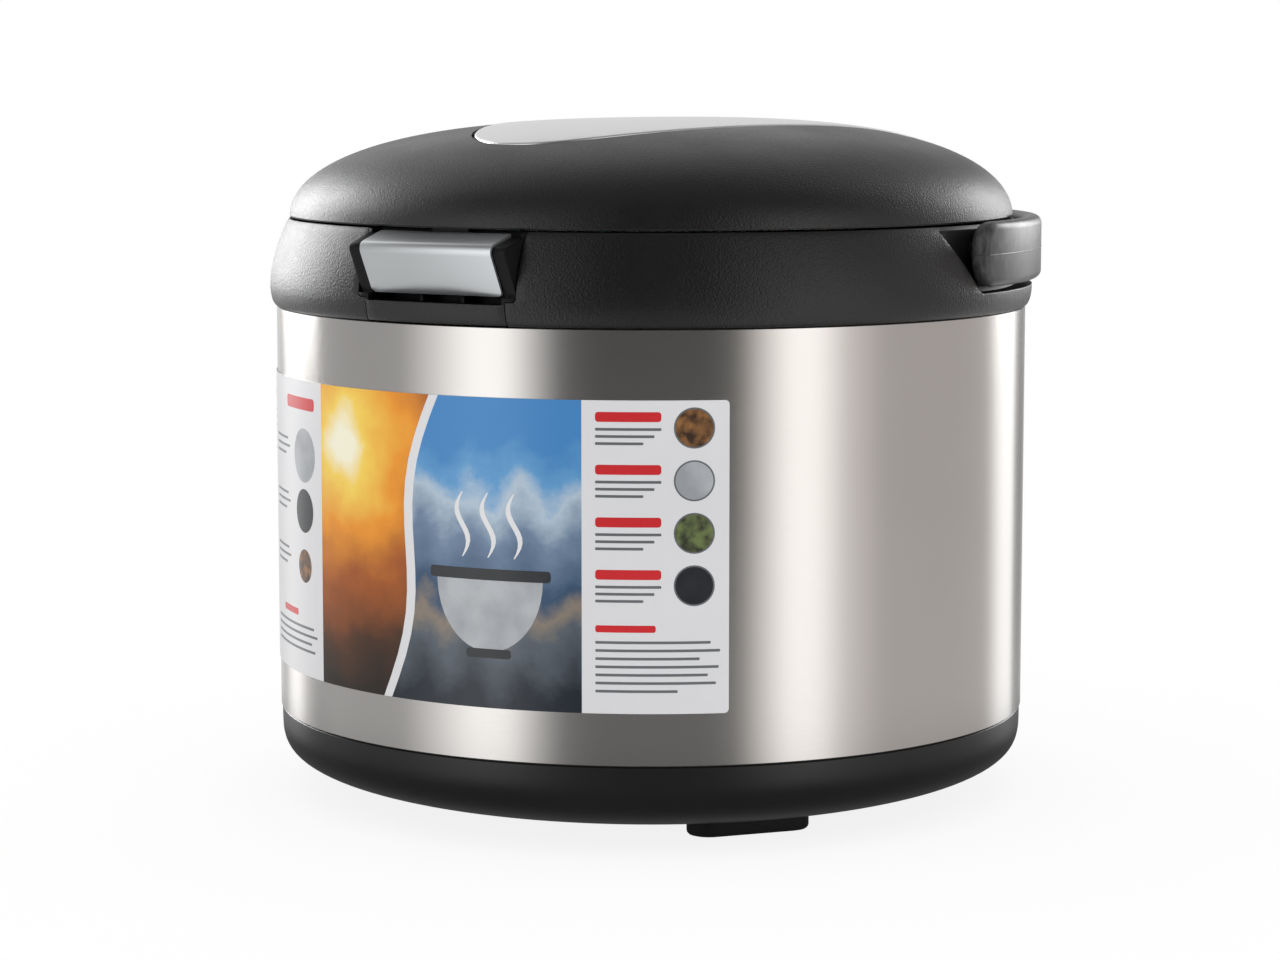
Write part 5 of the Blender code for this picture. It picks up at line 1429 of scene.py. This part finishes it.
@dataclass(frozen=True)
class Handle:
    """Moulded bail folded back round the collar."""

    end: float = 0.0100
    end_rounding: float = 0.0095
    end_points: int = 13
    thickness: float = 0.0077
    grip_rise: float = 0.0047
    grip_half: float = 0.0590
    shoulder: float = 0.0130
    rounding: float = 0.0090
    edge: float = 0.0030
    edge_steps: int = 6
    arm_step: float = math.radians(1.5)
    seam_half: float = 0.0002
    seam_rise: float = 0.00016

    def side(self, radius: float, shoulder: float, grip: float) -> Outline:
        """One side of the bail's right half, from the arm's end to the grip.

        Args:
            radius: The arm's radius.
            shoulder: Where the arm turns into the grip.
            grip: How far back the grip lies.

        Returns:
            The points in order.
        """
        start = -math.asin((self.end + MOULD.overrun) / radius)
        end = math.acos(shoulder / radius)
        points = arc((0.0, 0.0), radius, start, start, 1)
        points += arc((0.0, 0.0), radius, self.arm_step / 2, end, round(end / self.arm_step) + 1)
        rounding = min(self.rounding, (grip - points[-1][1]) / 2)
        return points + arc((shoulder - rounding, grip - rounding), rounding, 0.0, math.pi / 2, 9)

    def reach(self, half: float) -> float:
        """How far the round end of an arm reaches from the pivot."""
        return self.end_rounding + math.hypot(self.end - self.end_rounding, half - self.end_rounding)

    def form(self) -> BMesh:
        """Room that the bail is cut to, with the round ends of its arms.

        Returns:
            The closed shape.
        """
        low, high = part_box("handle_bail")
        half = (high.z - low.z) / 2
        front = self.end_rounding - self.end
        turn = arc((front, half - self.end_rounding), self.end_rounding, math.pi, math.pi / 2,
                   self.end_points)
        upper = turn + [(front, half + MOULD.overrun), (high.y + MOULD.overrun, half + MOULD.overrun)]
        lower = [(along, -rise) for along, rise in reversed(upper)]
        outline = [(along, low.z + half + rise) for along, rise in upper + lower]
        wide = high.x + MOULD.overrun
        return prism(outline, -wide, wide, side_matrix())

    def build(self) -> None:
        """Make the bail with its rounded edges and the seam of its mould."""
        low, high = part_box("handle_bail")
        outer_radius = high.x
        inner_radius = outer_radius - self.thickness
        inner_grip = inner_radius + self.grip_rise
        outer = self.side(outer_radius, self.grip_half, high.y)
        inner = self.side(inner_radius, self.grip_half - self.shoulder, inner_grip)
        outline = outer + mirrored(outer) + list(reversed(mirrored(inner))) + list(reversed(inner))
        shape = combined(prism(outline, low.z, high.z), Cut.KEEP, self.form())
        bmesh.ops.remove_doubles(shape, verts=shape.verts, dist=MOULD.weld)
        bevelled(shape, self.edge, self.edge_steps)
        middle = (low.z + high.z) / 2
        for level in (middle - self.seam_half, middle, middle + self.seam_half):
            sliced(shape, Vector((0.0, 0.0, level)), UP)
        shape.normal_update()
        ridge = [vert for vert in shape.verts if abs(vert.co.z - middle) < MOULD.weld]
        moves = [(vert, vert.normal.copy()) for vert in ridge if vert.co.y < high.y - MOULD.gap]
        for vert, normal in moves:
            vert.co += normal * self.seam_rise
        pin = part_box("handle_pivot_right")
        cuts = tuple((Cut.TAKE, rod((side * (inner_radius - MOULD.overrun), 0.0, middle),
                                    (side * (pin[1].x + MOULD.gap), 0.0, middle), pin[1].y + MOULD.gap))
                     for side in (-1.0, 1.0))
        finished("fine_handle_bail", shape, Palette.NYLON, Body.HANDLE, ("handle_bail",), cuts)
        dressed(Palette.ZINC, "handle_pivot_right", "handle_pivot_left")


@dataclass(frozen=True)
class Latch:
    """Press latch: silver cover on a black lever, in its insert with ears, pin and spring."""

    sizes: Sizes
    collar: Collar
    half: float = 0.0293
    top_drop: float = 0.0011
    bend_drop: float = 0.0055
    foot_drop: float = 0.0238
    top_setback: float = 0.0081
    bend_reach: float = 0.0067
    foot_setback: float = 0.0024
    skin: float = 0.0012
    bend: float = 0.0032
    bend_points: int = 13
    corner: float = 0.0020
    edge: float = 0.0005
    ear_thickness: float = 0.0030
    ear_gap: float = 0.0005
    cheek_inset: float = 0.0010
    cheek_gap: float = 0.0004
    wall: float = 0.0017
    floor_wall: float = 0.0014
    mouth_gap: float = 0.0007
    tab_drop: float = 0.0267
    tab_wall: float = 0.0025
    cell_floor_drop: float = 0.0305
    rib_x: float = 0.0093
    rib_wall: float = 0.0015
    rib_margin: float = 0.0006
    peg: float = 0.0016
    peg_length: float = 0.0025
    spring_rise: float = 0.0048

    def face(self, inset: float) -> Outline:
        """Section of the folded face from its top edge to its foot, set in by a wall.

        Args:
            inset: How far behind the outer face it lies.

        Returns:
            The points as depth and level.
        """
        top = Vector((self.top_setback - self.sizes.body, self.sizes.lid_level - self.top_drop))
        bend = Vector((-self.bend_reach - self.sizes.body, self.sizes.lid_level - self.bend_drop))
        foot = Vector((self.foot_setback - self.sizes.body, self.sizes.lid_level - self.foot_drop))
        upper = (top - bend).normalized()
        lower = (foot - bend).normalized()
        middle = (upper + lower).normalized()
        upper_out = Vector((-upper.y, upper.x))
        lower_out = Vector((lower.y, -lower.x))
        center = bend + middle * self.bend / abs(middle.dot(upper_out))
        first = math.atan2(upper_out.y, upper_out.x)
        last = math.atan2(lower_out.y, lower_out.x) % math.tau
        fold = arc(tuple(center), self.bend - inset, first, last, self.bend_points)
        return [tuple(top - upper_out * inset), *fold, tuple(foot - lower_out * inset)]

    def cover(self) -> None:
        """Fold the silver cover and round its corners and edges."""
        low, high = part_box("latch_cover")
        skin = self.face(0.0) + list(reversed(self.face(self.skin)))
        shape = prism(skin, -self.half, self.half, side_matrix())
        far = high.z + MOULD.overrun * 3
        corners = [(-self.half, low.z), (self.half, low.z), (self.half, far), (-self.half, far)]
        keeper = prism(rounded(corners, self.corner, 9), -high.y - MOULD.overrun, -low.y + MOULD.overrun,
                       front_matrix())
        finished("fine_latch_cover", shape, Palette.SILVER, Body.LATCH, ("latch_cover",),
                 ((Cut.KEEP, keeper),), self.edge, 3)
        dressed(Palette.SATIN, "latch_lever")
        dressed(Palette.ZINC, "latch_pin", "latch_spring")

    def housing(self) -> None:
        """Make the insert: flush tab, recess, mouth with its ribs, ears and peg."""
        sizes, collar = self.sizes, self.collar
        low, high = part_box("latch_housing")
        pin_low, pin_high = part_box("latch_pin")
        pin_y, pin_z = (pin_low.y + pin_high.y) / 2, (pin_low.z + pin_high.z) / 2
        wide = collar.recess_half - MOULD.gap
        tab = collar.tab_half - MOULD.gap
        front = -sizes.collar - MOULD.overrun
        before = front - MOULD.overrun
        back = high.y
        recess_back = back - self.wall
        floor = sizes.lid_level - collar.recess_drop + MOULD.gap
        recess_low = floor + self.floor_wall
        above = sizes.lid_level + MOULD.overrun
        corners = [(-wide, floor), (wide, floor), (wide, high.z), (-wide, high.z)]
        bottom = rounded(corners, collar.recess_corner)
        shape = prism([(x, z) for x, z in bottom if z < high.z - collar.recess_corner] + [(wide, high.z)]
                      + [(-wide, high.z)], -back, -front, front_matrix())
        side = collar.side()
        form = turned([(0.0, side[0][1]), *side, (0.0, side[-1][1])])
        mouth = self.half + self.mouth_gap
        tab_inner = -math.sqrt((sizes.body - self.tab_wall) ** 2 - collar.tab_half**2)
        cell_floor = sizes.lid_level - self.cell_floor_drop
        foot = sizes.lid_level - self.foot_drop
        pocket = wide - self.wall
        spring = foot + self.spring_rise
        cuts = [
            (Cut.JOIN, block((-tab, front, low.z), (tab, back, floor + MOULD.overrun))),
            (Cut.KEEP, form),
            (Cut.TAKE, block((-pocket, before, recess_low), (pocket, recess_back, above))),
            (Cut.TAKE, block((-wide - MOULD.overrun, before, recess_low),
                             (wide + MOULD.overrun, -collar.cavity, above))),
            (Cut.TAKE, block((-mouth, before, sizes.lid_level - self.tab_drop), (mouth, recess_back, above))),
            (Cut.TAKE, block((self.ear_gap - mouth, tab_inner, cell_floor),
                             (mouth - self.ear_gap, recess_back, above))),
        ]
        for x in (-self.rib_x, self.rib_x):
            left, right = x - self.rib_wall / 2, x + self.rib_wall / 2
            cuts.append((Cut.JOIN, block((left, tab_inner - MOULD.gap, cell_floor - MOULD.gap),
                                         (right, recess_back + MOULD.gap, foot - self.rib_margin))))
        ear = self.half + self.ear_gap
        ear_out = ear + self.ear_thickness
        cheek_out = wide - self.cheek_gap
        cheek = self.face(self.cheek_inset)
        behind = recess_back + MOULD.gap
        under = recess_low - MOULD.gap
        cheek += [(cheek[-1][0], under), (behind, under), (behind, cheek[0][1])]
        for way in (-1.0, 1.0):
            left, right = sorted((way * ear, way * cheek_out))
            cuts.append((Cut.JOIN, prism(cheek, left, right, side_matrix())))
        cuts.append((Cut.JOIN, rod((0.0, recess_back - self.peg_length, spring),
                                   (0.0, recess_back + MOULD.gap, spring), self.peg, 16)))
        radius = (pin_high.y - pin_low.y) / 2 + MOULD.gap
        reach = ear_out - MOULD.gap
        cuts.append((Cut.TAKE, rod((-reach, pin_y, pin_z), (reach, pin_y, pin_z), radius)))
        item = finished("fine_latch_housing", shape, Palette.GRAINED, Body.COOKER, ("latch_housing",),
                        tuple(cuts), self.edge / 2)
        # The insert's recess, mouth, ribs and ears get the darker finish: painted shade.
        refinish(item, self.gets_insert_painted_shade, Palette.PAINTED_SHADE)

    def gets_insert_painted_shade(self, place: Vector) -> bool:
        """Whether a place on the insert isn't on its flush tab, so that it gets painted shade."""
        floor = self.sizes.lid_level - self.collar.recess_drop
        skin = self.collar.radius(place.z) - MOULD.outer_skin
        return place.z > floor or math.hypot(place.x, place.y) < skin

    def build(self) -> None:
        """Make the whole latch."""
        self.cover()
        self.housing()


@dataclass(frozen=True)
class Lid:
    """Insulated lid: crowned cover with a silver plate, inner cover, gasket, catch and hinge."""

    sizes: Sizes
    wall: float = 0.0025
    rebate: float = 0.0010
    crown_points: int = 34
    edge_drop: float = 0.0006
    inlay_thickness: float = 0.0010
    inlay_rise: float = 0.0004
    inlay_edge: float = 0.0008
    rim_steps: int = 4
    plate_step: float = 0.0060
    groove: float = 0.0013
    groove_depth: float = 0.0019
    tip_share: float = 0.681
    spread_share: float = 0.5245
    inlay_power: float = 0.45
    spacing_power: float = 2.0
    back_share: float = 0.816
    corner_steps: int = 12
    outline_points: int = 40
    barrel: float = 0.0038
    barrel_margin: float = 0.0018
    knuckle_half: float = 0.0130
    knuckle_gap: float = 0.0006
    web_share: float = 0.7
    lug_depth: float = 0.0045
    pin_gap: float = 0.0003
    boss: float = 0.0036
    screw_bore: float = 0.0017
    screw_count: int = 4
    bracket_setback: float = 0.0015
    edge: float = 0.0004

    def crown(self, count: int, inset: float = 0.0) -> Outline:
        """The crown from its top down to its edge, set in by a wall.

        Args:
            count: How many points it gets.
            inset: How far inside the outer face it lies.

        Returns:
            Radius and level of each point.
        """
        radius = self.sizes.lid - inset
        height = self.sizes.crown_rise - inset
        points = [(0.0, self.sizes.lid_level + height)]
        for index in range(1, count):
            angle = math.pi / 2 * index / (count - 1)
            across = radius * math.sin(angle) ** (2.0 / self.sizes.crown_radius_power)
            rise = height * max(0.0, math.cos(angle)) ** (2.0 / self.sizes.crown_height_power)
            points.append((across, self.sizes.lid_level + rise))
        return points

    def lean(self, shape: BMesh) -> BMesh:
        """Raise the back of a dome and lower its front, as the lid leans."""
        for vert in shape.verts:
            share = min(1.0, max(0.0, (vert.co.z - self.sizes.lid_level) / self.sizes.crown_rise))
            vert.co.z += self.sizes.crown_lean * share * vert.co.y / self.sizes.lid
        return shape

    def dome(self, outer: float, inner: float) -> BMesh:
        """Turn a leaning skin between two insets of the crown."""
        over, under = [self.crown(self.crown_points, inset) for inset in (outer, inner)]
        return self.lean(turned(over + list(reversed(under))))

    def half_width(self, along: float) -> float:
        """Half width of the plate at a distance behind its tip."""
        return self.sizes.lid * self.spread_share * (along / self.sizes.lid) ** self.inlay_power

    def plate_outline(self, margin: float) -> Outline:
        """Outline of the silver plate: flanks that spread from a round tip, and a round back.

        Args:
            margin: How far it is set out.

        Returns:
            The points in plan.
        """
        tip = -self.sizes.lid * self.tip_share
        back = self.sizes.lid * self.back_share
        corner = back / 2
        for _ in range(self.corner_steps):
            corner = math.sqrt(back * back - self.half_width(corner - tip) ** 2)
        right = []
        for index in range(self.outline_points):
            along = (corner - tip) * (index / (self.outline_points - 1)) ** self.spacing_power
            right.append((self.half_width(along), tip + along))
        start = math.atan2(corner, right[-1][0])
        right += arc((0.0, 0.0), back, start, math.pi / 2, self.outline_points)[1:]
        return grown(right[:-1] + mirrored(right[1:]), margin)

    def cover(self) -> None:
        """Make the crowned cover with the plate's bed and the hinge's knuckle."""
        sizes = self.sizes
        wall = sizes.lid - self.wall
        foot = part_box("lid_catch")[1].z
        outer = self.crown(self.crown_points)[:-1] + [(sizes.lid, sizes.lid_edge + self.edge_drop),
                                                      (sizes.lid - self.edge_drop / 2, sizes.lid_edge)]
        inner = [point for point in self.crown(self.crown_points // 2, self.wall)
                 if point[1] > foot + self.rebate]
        profile = outer + [(wall, sizes.lid_edge), (wall, foot), *reversed(inner)]
        over = sizes.lid_level + sizes.crown_rise * 2
        bed = combined(self.dome(-MOULD.overrun, self.groove_depth), Cut.KEEP,
                       prism(self.plate_outline(self.groove), sizes.lid_level, over))
        pin_y, pin_z = hinge_axis()
        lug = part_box("hinge_bracket")[1].x
        wide = lug + self.barrel_margin
        scoop = self.barrel + self.barrel_margin
        front = pin_y - scoop - self.wall / 2
        rise = self.barrel * self.web_share
        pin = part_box("hinge_pin")
        bore = (pin[1].y - pin[0].y) / 2 + self.pin_gap
        half = self.knuckle_half
        cuts = [
            (Cut.TAKE, bed),
            (Cut.TAKE, self.along_pin(wide, scoop)),
            (Cut.JOIN, self.along_pin(half, self.barrel)),
            (Cut.JOIN, block((-half, front, pin_z - rise), (half, pin_y - self.barrel / 2, pin_z + rise))),
            (Cut.TAKE, self.along_pin(wide, bore)),
        ]
        for index in range(self.screw_count):
            low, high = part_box(f"lid_screw_{index + 1}")
            x, y = (low.x + high.x) / 2, (low.y + high.y) / 2
            start = foot - self.boss / 2
            cuts.append((Cut.JOIN, rod((x, y, start), (x, y, high.z + self.wall / 2), self.boss)))
            cuts.append((Cut.TAKE, rod((x, y, sizes.lid_level), (x, y, high.z + MOULD.gap), self.screw_bore)))
        finished("fine_lid_cover", self.lean(turned(profile)), Palette.GRAINED, Body.LID, ("lid_cover",),
                 tuple(cuts))

    def along_pin(self, half: float, radius: float) -> BMesh:
        """A round rod along the hinge pin."""
        pin_y, pin_z = hinge_axis()
        return rod((-half, pin_y, pin_z), (half, pin_y, pin_z), radius)

    def level(self, across: float) -> float:
        """Level of the crown at a distance from its axis, before it leans."""
        sizes = self.sizes
        angle = math.asin(min(1.0, (across / sizes.lid) ** (sizes.crown_radius_power / 2.0)))
        return sizes.lid_level + sizes.crown_rise * math.cos(angle) ** (2.0 / sizes.crown_height_power)

    def plate(self) -> None:
        """Make the silver plate: a sheet with a round rim, bent over the crown."""
        shape = prism(self.plate_outline(0.0), -self.inlay_thickness, self.inlay_rise - self.inlay_edge)
        top = max(shape.faces, key=lambda face: face.calc_center_median().z)
        turns = [math.pi / 2 * step / self.rim_steps for step in range(self.rim_steps + 1)]
        for first, last in zip(turns, turns[1:]):
            bmesh.ops.inset_region(shape, faces=[top], use_boundary=True, use_even_offset=True,
                                   thickness=self.inlay_edge * (math.cos(first) - math.cos(last)),
                                   depth=self.inlay_edge * (math.sin(last) - math.sin(first)))
        count = int(self.sizes.lid / self.plate_step)
        for index in range(-count, count + 1):
            for normal in (Vector((1.0, 0.0, 0.0)), Vector((0.0, 1.0, 0.0))):
                sliced(shape, normal * index * self.plate_step, normal)
        for vert in shape.verts:
            vert.co.z += self.level(math.hypot(vert.co.x, vert.co.y))
        finished("fine_lid_inlay", self.lean(shape), Palette.ANODISED, Body.LID, ("lid_inlay",))

    def underside(self) -> None:
        """Dress the inner pieces, and place the screws."""
        for index in range(self.screw_count):
            Screw(f"lid_screw_{index + 1}", UP, Fixing.LID).build(Body.LID)
        for side in ("left", "right"):
            Screw("catch_screw_" + side, UP, Fixing.LID).build(Body.LID)
            Screw("hinge_screw_" + side, Vector((0.0, -1.0, 0.0)), Fixing.HINGE).build(Body.COOKER)
        dressed(Palette.BLACKENED, "lid_catch")
        dressed(Palette.FOAM, "lid_insulation")
        dressed(Palette.SILICONE, "lid_gasket")
        dressed(Palette.WHITE, "lid_inner_cover")
        dressed(Palette.ZINC, "hinge_pin")

    def bracket(self) -> None:
        """Make the hinge bracket with its two lugs."""
        low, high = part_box("hinge_bracket")
        pin_y, pin_z = hinge_axis()
        screw_low, screw_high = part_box("hinge_screw_left")
        level = (screw_low.z + screw_high.z) / 2
        face = pin_y - self.barrel + self.bracket_setback
        back = face + self.lug_depth
        top = self.sizes.deck - MOULD.gap
        inner = self.knuckle_half + self.knuckle_gap
        shape = block((low.x, face, low.z), (high.x, back, top))
        cuts = []
        for left, right in ((low.x, -inner), (inner, high.x)):
            cuts.append((Cut.JOIN, block((left, face, top - MOULD.overrun),
                                         (right, pin_y + self.barrel, pin_z))))
            cuts.append((Cut.JOIN, rod((left, pin_y, pin_z), (right, pin_y, pin_z), self.barrel)))
        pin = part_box("hinge_pin")
        bore = (pin[1].y - pin[0].y) / 2 + self.pin_gap
        cuts.append((Cut.TAKE, self.along_pin(pin[1].x + MOULD.gap, bore)))
        for node in ("hinge_screw_left", "hinge_screw_right"):
            first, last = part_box(node)
            x = (first.x + last.x) / 2
            radius = (last.x - first.x) / 2 + MOULD.gap
            well = rod((x, back - radius / 2, level), (x, back + MOULD.overrun, level), radius)
            cuts.append((Cut.TAKE, well))
            cuts.append((Cut.TAKE, rod((x, face - MOULD.overrun, level), (x, back, level), self.screw_bore)))
        finished("fine_hinge_bracket", shape, Palette.GRAINED, Body.COOKER, ("hinge_bracket",), tuple(cuts),
                 self.edge)

    def build(self) -> None:
        """Make the whole lid and its hinge."""
        self.cover()
        self.plate()
        self.underside()
        self.bracket()


@dataclass(frozen=True)
class Lamp:
    """A soft lamp that looks at the middle of the cooker."""

    name: str
    place: tuple[float, float, float]
    width: float
    height: float
    power: float

    def build(self, target: Vector) -> None:
        """Hang the lamp.

        Args:
            target: The point that it looks at.
        """
        data = bpy.data.lights.new(self.name, "AREA")
        data.shape = "RECTANGLE"
        data.size = self.width
        data.size_y = self.height
        data.energy = self.power
        lamp = linked(self.name, data)
        lamp.location = self.place
        lamp.rotation_mode = "QUATERNION"
        lamp.rotation_quaternion = (target - Vector(self.place)).to_track_quat("-Z", "Y")
        lamp.visible_camera = False
        lamp.visible_diffuse = False


@dataclass(frozen=True)
class Studio:
    """White sweep, banded walls of light and the camera of the photograph."""

    camera_place: tuple[float, float, float] = (0.7416, -1.1791, 0.2808)
    camera_aim: tuple[float, float, float] = (-0.5314, 0.8390, -0.1172)
    lens: float = 97.28
    sensor: float = 36.0
    clip: tuple[float, float] = (0.01, 50.0)
    floor_half: float = 6.0
    floor_color: str = "f4f4f4"
    floor_share: float = 0.16
    floor_glow: float = 1.03
    ambient: float = 0.95
    shine: float = 1.8
    # Painted shadow: a flat dark grey that reflections see on the floor near the cooker, fading out between
    # the next two distances.
    painted_floor_shadow: str = "6c6c6c"
    painted_shadow_start: float = 0.20
    painted_shadow_end: float = 0.30
    target: tuple[float, float, float] = (0.0, 0.0, 0.14)
    walls: tuple[Band, ...] = (
        (-172, "b0b0b0"), (-153, "848484"), (-146, "e0e0e0"), (-138, "f8f8f8"), (-132, "a4a4a4"),
        (-124, "6c6c6c"), (-112, "868686"), (-80, "868686"), (-67, "c4c4c4"), (-55, "f6f6f6"),
        (-44, "f6f6f6"), (-35, "a8a8a8"), (-27, "3c3c3c"), (-16, "202020"), (18, "222222"), (26, "3c3c3a"),
        (35, "c8c4c2"), (42, "f8f6f4"), (51, "f6f4f2"), (60, "bab6b4"), (74, "928e8c"),
        (124, "928e8c"), (135, "e8e8e8"), (145, "e8e8e8"), (151, "707070"), (160, "606060"),
        (174, "b0b0b0"))
    wings: tuple[Band, ...] = (
        (-176, "303030"), (-166, "707070"), (-128, "707070"), (-108, "000000"), (112, "000000"),
        (130, "606060"), (166, "606060"), (176, "303030"))
    ceiling: tuple[Band, ...] = ((0.62, "ffffff"), (0.78, "d4d4d4"), (0.92, "8a8a8a"))
    wing_rise: tuple[Band, ...] = ((0.58, "000000"), (0.66, "ffffff"), (0.88, "ffffff"), (0.95, "000000"))
    foot_start: float = -0.12
    foot_end: float = -0.27
    foot_share: float = 0.38
    foot_color: str = "c0c0c0"
    lamps: tuple[Lamp, ...] = (
        Lamp("left_box", (-1.672, 0.306, 0.62), 1.0, 1.0, 26.0),
        Lamp("right_box", (0.402, 1.652, 0.58), 0.7, 0.8, 11.0),
    )

    def world(self) -> None:
        """Surround the cooker with walls of light that alternate with darker gaps."""
        world = bpy.data.worlds.new("studio")
        bpy.context.scene.world = world
        tree = cleared(world)
        way = add(tree, "TexCoord").outputs["Generated"]
        parts = add(tree, "SeparateXYZ", Vector=way)
        front = calculate(tree, "MULTIPLY", parts.outputs["Y"], -1.0)
        turn = calculate(tree, "ARCTAN2", parts.outputs["X"], front)
        share = add(tree, "MapRange", Value=turn, From_Min=-math.pi, From_Max=math.pi).outputs["Result"]
        walls = ramp(tree, share, self.places(self.walls))
        low = add(tree, "MapRange", Value=parts.outputs["Z"], From_Min=self.foot_start,
                  From_Max=self.foot_end, To_Max=self.foot_share)
        footed = mixed(tree, "MIX", low.outputs["Result"], walls, linear(self.foot_color))
        rise = add(tree, "MapRange", Value=parts.outputs["Z"], From_Min=-1.0, From_Max=1.0).outputs["Result"]
        room = mixed(tree, "MULTIPLY", 1.0, footed, ramp(tree, rise, list(self.ceiling)))
        sides = ramp(tree, share, self.places(self.wings))
        wings = mixed(tree, "MULTIPLY", 1.0, sides, ramp(tree, rise, list(self.wing_rise)))
        both = mixed(tree, "ADD", 1.0, room, wings)
        rays = add(tree, "LightPath")
        glossy = rays.outputs["Is Glossy Ray"]
        color = mixed(tree, "MIX", glossy, WHITE_LIGHT, both)
        lit = add(tree, "MapRange", Value=glossy, To_Min=self.ambient, To_Max=self.shine)
        strength = add(tree, "Mix", {"data_type": "FLOAT"}, Factor=rays.outputs["Is Camera Ray"],
                       i2=lit.outputs["Result"], i3=1.0)
        back = add(tree, "Background", Color=color, Strength=strength.outputs[0])
        add(tree, "OutputWorld", Surface=back.outputs["Background"])

    def places(self, bands: tuple[Band, ...]) -> list[Band]:
        """Set bands of light out round the cooker.

        Args:
            bands: Degrees round from the camera, each with its colour.

        Returns:
            Shares of the full turn, in order, with their colours.
        """
        camera = math.degrees(math.atan2(self.camera_place[0], -self.camera_place[1]))
        return sorted((((camera + turn + 180.0) % 360.0) / 360.0, code) for turn, code in bands)

    def build(self) -> None:
        """Make the world, the lamps, the floor and the camera."""
        self.world()
        target = Vector(self.target)
        for lamp in self.lamps:
            lamp.build(target)
        self.floor()
        self.camera()

    def floor(self) -> None:
        """Lay the pale floor under the feet, with a painted shadow near the cooker that only reflections see.
        """
        level = min(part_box(node)[0].z for node in ("foot_front_right", "foot_rear_left"))
        shape = bmesh.new()
        bmesh.ops.create_grid(shape, x_segments=1, y_segments=1, size=self.floor_half)
        bmesh.ops.translate(shape, vec=(0.0, 0.0, level), verts=shape.verts)
        item = meshed("floor", shape)
        material = bpy.data.materials.new("painted_floor")
        tree = cleared(material)
        paint = add(tree, "BsdfDiffuse", Color=linear(self.floor_color))
        glow = add(tree, "Emission", Color=WHITE_LIGHT, Strength=self.floor_glow)
        rays = add(tree, "LightPath")
        seen = calculate(tree, "MULTIPLY", rays.outputs["Is Camera Ray"], 1.0 - self.floor_share)
        both = add(tree, "MixShader", i0=seen, i1=paint.outputs["BSDF"], i2=glow.outputs["Emission"])
        # Glossy rays see a painted shadow near the cooker, a flat dark grey glow that fades out to the world
        # beyond.
        place = add(tree, "TexCoord").outputs["Object"]
        away = add(tree, "VectorMath", {"operation": "LENGTH"}, i0=place)
        open_share = add(tree, "MapRange", Value=away.outputs["Value"], From_Min=self.painted_shadow_start,
                         From_Max=self.painted_shadow_end)
        shade = add(tree, "Emission", Color=linear(self.painted_floor_shadow), Strength=1.0)
        clear = add(tree, "BsdfTransparent")
        under = add(tree, "MixShader", i0=open_share.outputs["Result"], i1=shade.outputs["Emission"],
                    i2=clear.outputs["BSDF"])
        floor = add(tree, "MixShader", i0=rays.outputs["Is Glossy Ray"], i1=both.outputs["Shader"],
                    i2=under.outputs["Shader"])
        add(tree, "OutputMaterial", Surface=floor.outputs["Shader"])
        item.data.materials.append(material)

    def camera(self) -> None:
        """Place the camera where the photograph was taken."""
        data = bpy.data.cameras.new("photo_camera")
        data.sensor_fit = "HORIZONTAL"
        data.sensor_width = self.sensor
        data.lens = self.lens
        data.clip_start, data.clip_end = self.clip
        camera = linked("photo_camera", data)
        camera.location = self.camera_place
        camera.rotation_mode = "QUATERNION"
        camera.rotation_quaternion = Vector(self.camera_aim).to_track_quat("-Z", "Y")
        bpy.context.scene.camera = camera


def main() -> None:
    """Build the looks of the whole cooker."""
    logging.basicConfig(level=logging.INFO, format="%(name)s: %(message)s")
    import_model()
    sizes = Sizes.from_frame()
    handle = Handle()
    collar = Collar(sizes, handle)
    builders: list[Callable[[], None]] = [
        Base(sizes).build, Shell(sizes).build, Wrap(sizes).build, Pot().build, collar.build, handle.build,
        Latch(sizes, collar).build, Lid(sizes).build, Studio().build]
    for build in builders:
        build()
        LOG.info("%s is done", build.__self__.__class__.__name__)
    bpy.context.scene.view_settings.view_transform = "Standard"


if __name__ == "__main__":
    main()
